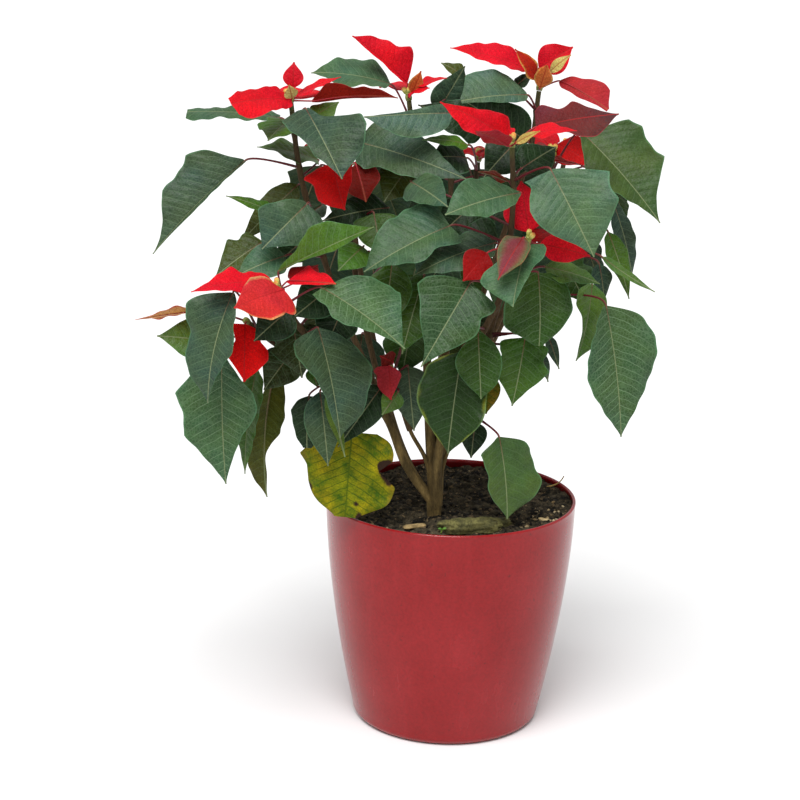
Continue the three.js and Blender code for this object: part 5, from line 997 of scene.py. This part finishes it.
def stemPoints(route, t):
    # uniform Catmull-Rom through the route's spots, ends extended by 2 p0 - p1
    spots = place(route)
    padded = np.concatenate([2 * spots[:1] - spots[1:2], spots, 2 * spots[-1:] - spots[-2:-1]])
    t = np.atleast_1d(t) * (len(spots) - 1)
    i = np.clip(np.floor(t).astype(int), 0, len(spots) - 2)
    w = (t - i)[:, None]
    p0, p1, p2, p3 = (padded[i + k] for k in range(4))
    return 0.5 * (2 * p1 + (p2 - p0) * w + (2 * p0 - 5 * p1 + 4 * p2 - p3) * w ** 2
                  + (3 * p1 - p0 - 3 * p2 + p3) * w ** 3)


def gradientTint(stops, t):
    places = [stop[0] for stop in stops]
    colours = np.array([linear(stop[1]) for stop in stops])
    return np.stack([np.interp(t, places, colours[:, c]) for c in range(3)], -1)


def petioleShape(b, root, radius, bow, kind):
    # quadratic Bezier root -> handle -> base, then along the midrib just under the skin
    span = np.linalg.norm(b["base"] - root)
    handle = b["base"] - b["along"] * stems["petioleLead"] * span + np.array([0, 0, bow * span])
    t = np.linspace(0, 1, 16)[:, None]
    curve = (1 - t) ** 2 * root + 2 * t * (1 - t) * handle + t ** 2 * b["base"]
    u = np.linspace(0.04, 0.94, 20)[:, None]
    keep = b["length"] * u
    rib = (b["base"] + b["along"] * keep + b["face"] * (b["arch"] * b["length"] * 4 * u * (1 - u)
                                                        - 0.25 - 0.5 * radius * (1 - u) ** 2))
    path = np.concatenate([curve, rib])
    radii = np.concatenate([radius * (1.25 - 0.35 * ease(t[:, 0], 0, 0.35)),
                            radius * (0.8 - 0.68 * u[:, 0])])
    tint = gradientTint(stalkTints[kind], np.concatenate([t[:, 0], 1 + u[:, 0]]))
    return tube(path, radii, 8, tint, skinNumber["stalk"])


def shootShapes(shoot, firstIndex):
    route = shoot["stem"]
    fork = (stems["woodPoints"] - 1) / (len(route) - 1)
    samples = stemPoints(route, np.linspace(fork + 0.04, stems["petioleTop"], 60))
    leafShapes, bractShapes, roots = [], [], []
    for k, row in enumerate(shoot["leaves"] + shoot["bracts"]):
        kind = "leaf" if k < len(shoot["leaves"]) else "bract"
        shape, b = bladeShape(row, firstIndex + k, kind)
        if kind == "leaf":
            reach = np.linalg.norm(samples - b["base"], axis=1).min()
            goal = b["base"] - np.array([0, 0, stems["petioleDrop"] * reach])
            root = samples[np.linalg.norm(samples - goal, axis=1).argmin()]
            roots.append(root)
        else:
            root = hubSpot(route)[2]
        radius = stems[kind + "Radius"]
        bow = stems["petioleBow"] if kind == "leaf" else 0
        stalkShape = petioleShape(b, root, radius, bow, kind)
        (leafShapes if kind == "leaf" else bractShapes).extend([shape, stalkShape])
    # the stem: radius falls from foot to tip and swells a little where each petiole stands
    t = np.linspace(fork, 1, 60)
    path = stemPoints(route, t)
    share = (t - fork) / (1 - fork)
    radii = stems["footRadius"] + (stems["tipRadius"] - stems["footRadius"]) * share
    for root in roots:
        radii = radii + stems["nodeSwell"] * np.exp(-(np.linalg.norm(path - root, axis=1) / 3.5) ** 2)
    radii = np.minimum(radii, stems["footRadius"] * 1.5)
    tint = gradientTint(stemTints, share)
    leafShapes.append(tube(path, radii, stems["sides"], tint, skinNumber["wood"]))
    if bractShapes:
        bractShapes.append(hubShape(route))
    return leafShapes, bractShapes


# blooms: a short green hub with cup-shaped buds round it
blooms = {
    "hubRadius": 3.4,
    "hubHeight": 6,
    "seatHeight": 1.6,
    "spread": 1.4,
    "lean": 0.4,
    "budRadius": 2.6,
    "budHeight": 7,
    "gap": 0.3,         # mm between stem, hub and seat
    "bractSeat": 0.35,  # share of the hub's height where the bracts stand
    "firstTurn": 0.5,   # radians to the first bud
}


def hubSpot(route):
    tip = stemPoints(route, 1.0)[0]
    way = unit(tip - stemPoints(route, 0.999)[0])
    foot = tip + way * blooms["gap"]
    top = foot + way * blooms["hubHeight"]
    return foot, top, foot + (top - foot) * blooms["bractSeat"], way


budStops = [(0, "7C8C3C"), (0.4, "A8AC54"), (0.65, "CFC06A"), (0.85, "D8B45A"), (1, "C87838")]


def hubShape(route):
    foot, top = hubSpot(route)[:2]
    s = np.linspace(0, 1, 10)
    radii = blooms["hubRadius"] * (0.8 + 0.2 * np.sin(math.pi * s))
    return tube(foot + (top - foot) * s[:, None], radii, 16,
                gradientTint([(0, "6A7038"), (1, "8C9648")], s), skinNumber["stalk"])


def bloomShapes(shoot):
    top, middle, way = hubSpot(shoot["stem"])[1:]
    s = np.linspace(0, 1, 8)
    seat = tube(top + way * (blooms["gap"] + blooms["seatHeight"] * s[:, None]),
                blooms["hubRadius"] * np.interp(s, [0, 0.3, 1], [0.8, 1, 0.75]), 16,
                gradientTint([(0, "8C9648"), (1, "9AA050")], s), skinNumber["stalk"])
    shapes = [seat]
    sideways = unit(np.cross((1, 0, 0), way))
    other = np.cross(way, sideways)
    for k in range(shoot["buds"]):
        turnBy = 2 * math.pi * k / shoot["buds"] + blooms["firstTurn"]
        out = math.cos(turnBy) * sideways + math.sin(turnBy) * other
        lean = unit(way + blooms["lean"] * out)
        s = np.linspace(0, 1, 16)
        start = top + way * blooms["gap"] + out * blooms["spread"]
        path = start + lean * (0.2 + blooms["budHeight"] * s[:, None] * 1.06)
        cup = np.interp(s, [0, 0.15, 0.5, 0.8, 0.93, 1], [0.45, 0.75, 1, 0.86, 0.62, 0.3])
        shapes.append(tube(path, blooms["budRadius"] * cup, 16, gradientTint(budStops, s),
                           skinNumber["stalk"]))
    return shapes


def showPiece(node, shapes, materials, sharpAngle=55):
    first, *rest = node.split("_")
    name = first + "".join(word.capitalize() for word in rest) if rest else node + "Body"
    piece = makePiece(name, shapes, materials, sharpAngle)
    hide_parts(node)


index = 0
for name, shoot in shoots.items():
    leafShapes, bractShapes = shootShapes(shoot, index)
    index += len(shoot["leaves"]) + len(shoot["bracts"])
    showPiece(name + "_leaves", leafShapes, plantMaterials)
    if bractShapes:
        showPiece(name + "_bracts", bractShapes, plantMaterials)
    if shoot["buds"]:
        showPiece(name + "_buds", bloomShapes(shoot), plantMaterials)
print("plant made:", index, "blades")

# trunk: the stump and every stem's first stretch, grown together
trunk = {
    "stumpRadii": (5.6, 7.6),
    "footRadius": 5.2,
    "forkRadius": 4.2,
    "sides": 14,
    "rings": 14,
    "tint": "6A5834",
    "streak": 0.32,
}
trunkShapes = [tube(place([[434, down, -50] for down in np.linspace(545, 500, trunk["rings"])]),
                    np.linspace(*trunk["stumpRadii"], trunk["rings"]), 24, linear(trunk["tint"]))]
for shoot in shoots.values():
    fork = (stems["woodPoints"] - 1) / (len(shoot["stem"]) - 1)
    t = np.linspace(0, fork, 22)
    radii = shoot["girth"] * np.linspace(trunk["footRadius"], trunk["forkRadius"], 22)
    trunkShapes.append(tube(stemPoints(shoot["stem"], t), radii, trunk["sides"], linear(trunk["tint"])))
for shape in trunkShapes:
    # long pale and dark streaks, ripples stretched fivefold along the wood
    streaks = ripple(shape["points"] * (1, 1, 0.2), 4, 50) + 0.7 * ripple(shape["points"], 22, 51)
    shape["tint"][:, :3] *= (1 + trunk["streak"] * streaks)[:, None].clip(0.55, 1.5)
showPiece("trunk", trunkShapes, [woodyStem])

# pot: moulded plastic, gloss red, with a thin rolled lip
pot = {
    "height": 230,
    "rimRadius": 125.5,
    "footRadius": 93,
    "baseRadius": 86,
    "footRounding": 8,
    "taper": 1.68,
    "wall": 3,
    "lipHeight": 4,
    "lipOverhang": 0.9,
    "lipRound": 1.7,    # radius of the rim's edge
    "floor": 6,
    "sides": 192,
    # insideShade: share of the red kept on the inner wall, painted shade inside the pot
    "insideShade": 0.4,
}


def wallRadius(height):
    # foot + (rim - overhang - foot) (1 - (1 - z / height)^taper)
    reach = pot["rimRadius"] - pot["lipOverhang"] - pot["footRadius"]
    return pot["footRadius"] + reach * (1 - (1 - height / pot["height"]) ** pot["taper"])


def lathe(profile, sides, tint):
    # profile (radius, height) turned about z; the first and last profile points lie on the axis
    profile = np.asarray(profile, float)
    ring, rows = profile[1:-1], len(profile) - 2
    angle = np.arange(sides) * 2 * math.pi / sides
    points = np.stack([ring[:, :1] * np.cos(angle), ring[:, :1] * np.sin(angle),
                       np.broadcast_to(ring[:, 1:], (rows, sides))], -1).reshape(-1, 3)
    points = np.concatenate([points, [[0, 0, profile[0, 1]], [0, 0, profile[-1, 1]]]])
    return ringShape(points, rows, sides, tint)


def potProfile():
    base, rounding, lip = pot["baseRadius"], pot["footRounding"], pot["lipHeight"]
    bend = np.linspace(-math.pi / 2, 0, 9)
    foot = np.stack([base + (wallRadius(rounding) - base) * np.cos(bend),
                     rounding + rounding * np.sin(bend)], -1)
    wallHeights = np.linspace(rounding + 6, pot["height"] - lip, 40)
    outer = np.stack([wallRadius(wallHeights), wallHeights], -1)
    rimWall = pot["rimRadius"] - pot["lipOverhang"]
    roll = np.linspace(-0.3, 2.8, 12)
    lipRound = pot["lipRound"]
    bead = np.stack([rimWall + 0.4 - lipRound + lipRound * np.cos(roll),
                     pot["height"] - lipRound + lipRound * np.sin(roll)], -1)
    innerHeights = np.linspace(pot["height"] - lip, pot["floor"], 16)
    shade = np.repeat([1, pot["insideShade"]], [len(foot) + len(outer) + len(bead), len(innerHeights)])
    inner = np.stack([wallRadius(innerHeights) - pot["wall"], innerHeights], -1)
    return np.concatenate([[[0, 0]], foot, outer, bead, inner, [[0, pot["floor"]]]]), shade


# Injection-moulded polypropylene, gloss red: even colour, mirror-like skin broken by handling haze
# and dried water runs, seen as a change of gloss more than of colour. The tint attribute darkens the
# inner wall: painted shade.
def potSkin():
    material, tree, shader = startMaterial("glossRedPlastic", {
        "IOR": 1.5, "Specular IOR Level": 0.2, "Coat Weight": 0.3, "Coat Roughness": 0.03,
    })
    place3d = addNode(tree, "TexCoord").outputs["Object"]
    haze = addNode(tree, "TexNoise", {"Scale": 14, "Detail": 4}, {"Vector": place3d}).outputs[0]
    runs = addNode(tree, "Mapping", {"Scale": (90, 90, 5)}, {"Vector": place3d}).outputs[0]
    runs = addNode(tree, "TexNoise", {"Scale": 1, "Detail": 4}, {"Vector": runs}).outputs[0]
    runs = addNode(tree, "MapRange", {1: 0.52, 2: 0.8, 3: 0, 4: 1}, {0: runs}).outputs[0]
    hazeShow = addNode(tree, "MapRange", {1: 0.35, 2: 0.7, 3: 0, 4: 0.6}, {0: haze}).outputs[0]
    both = addNode(tree, "Math", {"operation": "MULTIPLY_ADD", 1: 0.3}, {0: runs, 2: hazeShow}).outputs[0]
    body = addNode(tree, "Mix", {"data_type": "RGBA", 6: colour("840A0E"), 7: colour("961E22")}, {0: both})
    # fine dust and a few dark specks of splashed soil
    dust = addNode(tree, "TexNoise", {"Scale": 420, "Detail": 3}, {"Vector": place3d}).outputs[0]
    dustTone = addNode(tree, "MapRange", {1: 0.3, 2: 0.7, 3: 0.86, 4: 1.14}, {0: dust}).outputs[0]
    body = addNode(tree, "VectorMath", {"operation": "SCALE"}, {0: body.outputs[2], "Scale": dustTone})
    speck = addNode(tree, "TexNoise", {"Scale": 170, "Detail": 2}, {"Vector": place3d}).outputs[0]
    speck = addNode(tree, "MapRange", {1: 0.7, 2: 0.76, 3: 0, 4: 0.6}, {0: speck}).outputs[0]
    body = addNode(tree, "Mix", {"data_type": "RGBA", 7: colour("4A1410")}, {0: speck, 6: body.outputs[0]})
    # the tint is 1 outside and insideShade on the inner wall: painted shade
    tint = addNode(tree, "Attribute", {"attribute_name": "tint"})
    body = addNode(tree, "VectorMath", {"operation": "MULTIPLY"},
                   {0: body.outputs[2], 1: tint.outputs["Color"]})
    tree.links.new(body.outputs[0], shader.inputs["Base Color"])
    gloss = addNode(tree, "MapRange", {1: 0, 2: 1, 3: 0.2, 4: 0.34}, {0: both}).outputs[0]
    tree.links.new(gloss, shader.inputs["Roughness"])
    dents = addNode(tree, "TexNoise", {"Scale": 9, "Detail": 1}, {"Vector": place3d}).outputs[0]
    bump = addNode(tree, "Bump", {"Strength": 0.12, "Distance": 0.002}, {"Height": dents})
    tree.links.new(bump.outputs[0], shader.inputs["Normal"])
    return material


potRed = potSkin()
profile, shade = potProfile()
shade = np.concatenate([np.repeat(shade, pot["sides"]), [1, pot["insideShade"]]])[:, None]
showPiece("pot", [lathe(profile, pot["sides"], shade)], [potRed], sharpAngle=60)
print("pot made")

# soil: fills the pot to a little under the rim, with clods, crumbs and a few pale grits
soil = {
    "level": 224,
    "relief": 2.4,
    "gap": 0.3,
    "clod": 26,         # mm between clods
    "crumb": 7,
    "grit": 2.6,
    "heights": (1.6, 1.3, 0.7),  # mm of relief for clod, crumb and grit
    "crumbCount": 520,
    "sides": 260,
}


def soilHeight(x, y):
    # level + 0.6 relief (sin(x/13 + 1) cos(y/11) + 0.6 sin((x + y)/7))
    lumps = np.sin(x / 13 + 1) * np.cos(y / 11) + 0.6 * np.sin((x + y) / 7)
    return soil["level"] + soil["relief"] * 0.6 * lumps


def roughSoil(x, y):
    spots = np.stack([x, y, np.zeros_like(x)], -1)
    clod, crumb, grit = soil["heights"]
    return (soilHeight(x, y) + clod * ripple(spots, soil["clod"], 1)
            + crumb * ripple(spots, soil["crumb"], 2) + grit * ripple(spots, soil["grit"], 3, 40))


def soilShape():
    # rings of radius r and angle a at height roughSoil, closed by a wall and a floor inside the pot
    sides = soil["sides"]
    edge = wallRadius(soil["level"]) - pot["wall"] - soil["gap"]
    radii = edge * np.sqrt(np.linspace(1, 0.0002, 96))
    angle = np.arange(sides) * 2 * math.pi / sides
    x, y = radii[:, None] * np.cos(angle), radii[:, None] * np.sin(angle)
    top = np.stack([x, y, roughSoil(x, y)], -1)
    heights = np.array([pot["floor"] + soil["gap"], 60, 110, 170, soil["level"] - 8])
    low = (wallRadius(heights) - pot["wall"] - soil["gap"])[:, None]
    wall = np.stack([low * np.cos(angle), low * np.sin(angle),
                     np.broadcast_to(heights[:, None], (len(heights), sides))], -1)
    points = np.concatenate([wall, top]).reshape(-1, 3)
    rows = len(points) // sides
    points = np.concatenate([points, [[0, 0, heights[0]], [0, 0, roughSoil(np.zeros(1), np.zeros(1))[0]]]])
    return ringShape(points, rows, sides, (1, 1, 1))


# Peat potting soil: matt, nearly black when damp, brown where it dries, flecked with pale grit.
def soilSkin(name):
    material, tree, shader = startMaterial(name, {"IOR": 1.4, "Specular IOR Level": 0.2, "Roughness": 0.95})
    tint = addNode(tree, "Attribute", {"attribute_name": "tint"})
    place3d = addNode(tree, "TexCoord").outputs["Object"]
    damp = addNode(tree, "TexNoise", {"Scale": 90, "Detail": 8, "Roughness": 0.75},
                   {"Vector": place3d}).outputs[0]
    damp = addNode(tree, "MapRange", {1: 0.42, 2: 0.62}, {0: damp}).outputs[0]
    ground = addNode(tree, "Mix", {"data_type": "RGBA", 6: colour("0E0D0A"), 7: colour("504838")},
                     {0: damp})
    pale = addNode(tree, "TexNoise", {"Scale": 260, "Detail": 4}, {"Vector": place3d}).outputs[0]
    pale = addNode(tree, "MapRange", {1: 0.6, 2: 0.7, 3: 0, 4: 0.6}, {0: pale}).outputs[0]
    flecked = addNode(tree, "Mix", {"data_type": "RGBA", 7: colour("8C7656")},
                      {0: pale, 6: ground.outputs[2]})
    body = addNode(tree, "VectorMath", {"operation": "MULTIPLY"},
                   {0: flecked.outputs[2], 1: tint.outputs["Color"]}).outputs[0]
    tree.links.new(body, shader.inputs["Base Color"])
    grain = addNode(tree, "TexNoise", {"Scale": 500, "Detail": 6}, {"Vector": place3d}).outputs[0]
    bump = addNode(tree, "Bump", {"Strength": 0.9, "Distance": 0.002}, {"Height": grain})
    tree.links.new(bump.outputs[0], shader.inputs["Normal"])
    return material


peat = soilSkin("dampPeatSoil")
showPiece("soil", [soilShape()], [peat], sharpAngle=80)


def pebble(rows=6, sides=8):
    # unit sphere in rings: (sin a cos b, sin a sin b, cos a), poles closed
    a = np.linspace(math.pi - 0.4, 0.4, rows)
    profile = np.stack([np.sin(a), np.cos(a)], -1)
    return lathe(np.concatenate([[[0, -1]], profile, [[0, 1]]]), sides, (1, 1, 1))


def turned(points, angle):
    # (x cos a - y sin a, x sin a + y cos a, z)
    c, s = np.cos(angle), np.sin(angle)
    return np.stack([points[..., 0] * c - points[..., 1] * s, points[..., 0] * s + points[..., 1] * c,
                     points[..., 2]], -1)


def scatterShape(count, seed, sizes, tints, nearest=0.1, sector=(0, 2 * math.pi), squash=0.7):
    # each crumb: pebble x (size x random stretch), turned about z, half sunk in the soil
    rng = np.random.default_rng(seed)
    unitShape = pebble()
    radius = crumbReach * np.sqrt(rng.uniform(nearest ** 2, 1, count))
    around = rng.uniform(*sector, count)
    x, y = radius * np.cos(around), radius * np.sin(around)
    size = rng.uniform(*sizes, count)[:, None, None] * rng.uniform(0.6, 1.3, (count, 1, 3)) * (1, 1, squash)
    lumps = 1 + 0.25 * rng.normal(size=(count, len(unitShape["points"]), 1)).clip(-1.5, 1.5)
    local = unitShape["points"] * lumps * size
    local = turned(local, rng.uniform(0, 2 * math.pi, count)[:, None])
    centre = np.stack([x, y, roughSoil(x, y) + 0.2 * size[:, 0, 2]], -1)
    points = (local + centre[:, None]).reshape(-1, 3)
    shift = np.arange(count)[:, None, None] * len(unitShape["points"])
    quads = (unitShape["quads"] + shift).reshape(-1, 4)
    tris = (unitShape["tris"] + shift).reshape(-1, 3)
    tint = np.array([linear(t) for t in tints])[rng.integers(0, len(tints), count)]
    return makeShape(points, quads, np.repeat(tint, len(unitShape["points"]), axis=0), 0, tris)


crumbReach = wallRadius(soil["level"]) - pot["wall"] - 5
crumbSkin = barkSkin("driedCrumbs", 600, 0.6, 1.4, 1)
crumbs = makePiece("soilCrumbs", [
    scatterShape(soil["crumbCount"], 21, (0.8, 2.4), ("1A1712", "2E281E", "4C4232", "5A4C38", "12100C")),
    scatterShape(46, 22, (0.5, 1.4), ("8C7A5C", "7A6848", "A08C6C")),
    scatterShape(44, 23, (0.5, 1.9), ("A08C68", "7E6A48", "BCAA86"), nearest=0.74, sector=(-0.9, -0.05)),
], [crumbSkin])
print("soil made")

# litter: a mossy piece of bark, two pale chips, a straw and a seedling
litter = {
    "bark_piece": {"at": (24, -88), "size": (68, 20, 15), "turn": 14,
                   "tints": ("4C4A2C", "6E6A3E"), "slot": "bark"},
    "wood_chip_left": {"at": (-34, -88), "size": (26, 9, 3), "turn": 24,
                       "tints": ("7C6844", "A48C60"), "slot": "pale_wood"},
    "wood_chip_right": {"at": (92, -52), "size": (13, 7, 3), "turn": -40,
                        "tints": ("B09668", "D2BC8C"), "slot": "pale_wood"},
}
barkMoss = barkSkin("mossyBark", 420, 0.5, 1.5, 1)
chipWood = barkSkin("splitWood", 500, 0.7, 1.3, 1)


def signedPower(values, power):
    return np.sign(values) * np.abs(values) ** power


def chipShape(chip, seed):
    # (cos^0.55 a cos^0.75 b, cos^0.55 a sin^0.75 b, sin^0.8 a), powers of the absolute value with its sign
    # kept; then scaled, roughened by ripples, turned and set down
    rows, sides = 30, 56
    a = np.linspace(-math.pi / 2 + 0.05, math.pi / 2 - 0.05, rows)[:, None]
    b = (np.arange(sides) * 2 * math.pi / sides)[None, :]
    flat = signedPower(np.cos(a), 0.55)
    points = np.stack([flat * signedPower(np.cos(b), 0.75), flat * signedPower(np.sin(b), 0.75),
                       signedPower(np.sin(a), 0.8) * np.ones_like(b)], -1)
    half = np.array(chip["size"]) / 2
    points = points * half
    rough = (0.1 * ripple(points, 11, seed) + 0.06 * ripple(points, 3.5, seed + 1)
             + 0.035 * ripple(points, 1.4, seed + 3))
    points = points * (1 + rough[..., None])
    tone = ease(ripple(points, 6, seed + 2), -1, 1)[..., None]
    tint = linear(chip["tints"][0]) * (1 - tone) + linear(chip["tints"][1]) * tone
    x, y = chip["at"]
    z = soilHeight(x, y) + chip["size"][2] * 0.3
    points = (turned(points, math.radians(chip["turn"])) + (x, y, z)).reshape(-1, 3)
    ends = np.array([[x, y, z - half[2] * 0.98], [x, y, z + half[2] * 0.98]])
    tint = tint.reshape(-1, 3)
    return ringShape(np.concatenate([points, ends]), rows, sides, np.concatenate([tint, tint[:2]]))


for seed, (node, chip) in enumerate(litter.items()):
    wood = barkMoss if chip["slot"] == "bark" else chipWood
    showPiece(node, [chipShape(chip, 30 + seed * 5)], [wood])

strawLook = {"across": 547, "down": 487, "depth": 50, "reach": 17, "radius": 1.1, "tint": "A88A50"}
s = np.linspace(0, 1, 14)
strawPath = place(np.stack([strawLook["across"] + strawLook["reach"] * s,
                            strawLook["down"] - 4 * s - 7 * s ** 4, strawLook["depth"] + 0 * s], -1))
strawTube = tube(strawPath, strawLook["radius"] * (1 - 0.5 * s), 8, linear(strawLook["tint"]))
straw = makePiece("straw", [strawTube], [chipWood])
seedlingFoot = place([441, 533, -104])
seedlingTop = seedlingFoot + (1, 0, 3.5)
seedling = makePiece("seedling", [
    tube(seedlingFoot + (seedlingTop - seedlingFoot) * s[:, None], 0.6, 8, linear("7C9A3C")),
    tube(seedlingTop + s[:, None] * (-4, -1.5, 1.5), 0.3 + 1.1 * np.sin(math.pi * s), 8, linear("4E7A2A")),
    tube(seedlingTop + s[:, None] * (4, -1, 2), 0.3 + 1.1 * np.sin(math.pi * s), 8, linear("5E8A30")),
], [stalk])
print("litter made")

# floor and light: a plain pale floor, even light from all round and one broad soft sun from
# above the front left
studio = {
    "floorSize": 30,
    "floorTone": "E4E4E4",
    "world": 0.62,
    "worldTone": "FFFFFF",
    "sunPower": 3.3,
    "sunSpread": 36,    # degrees
    "sunFrom": (-0.2, -1.0, 1.8),
}
floorMesh = bpy.data.meshes.new("floor")
edge = studio["floorSize"]
floorMesh.from_pydata([(-edge, -edge, 0), (edge, -edge, 0), (edge, edge, 0), (-edge, edge, 0)], [],
                      [(0, 1, 2, 3)])
floor = bpy.data.objects.new("floor", floorMesh)
bpy.context.scene.collection.objects.link(floor)
floorPaper = startMaterial("matPaper", {"Base Color": colour(studio["floorTone"]), "Roughness": 0.9,
                                        "Specular IOR Level": 0.1})[0]
floorMesh.materials.append(floorPaper)

world = bpy.data.worlds.new("studio")
bpy.context.scene.world = world
world.use_nodes = True
world.node_tree.nodes["Background"].inputs["Color"].default_value = colour(studio["worldTone"])
world.node_tree.nodes["Background"].inputs["Strength"].default_value = studio["world"]

sun = bpy.data.objects.new("softSun", bpy.data.lights.new("softSun", "SUN"))
sun.data.energy = studio["sunPower"]
sun.data.angle = math.radians(studio["sunSpread"])
bpy.context.scene.collection.objects.link(sun)
back = unit(np.array(studio["sunFrom"], float))
right = unit(np.cross((0, 0, 1), back))
sun.matrix_world = standing(right, np.cross(back, right), back)
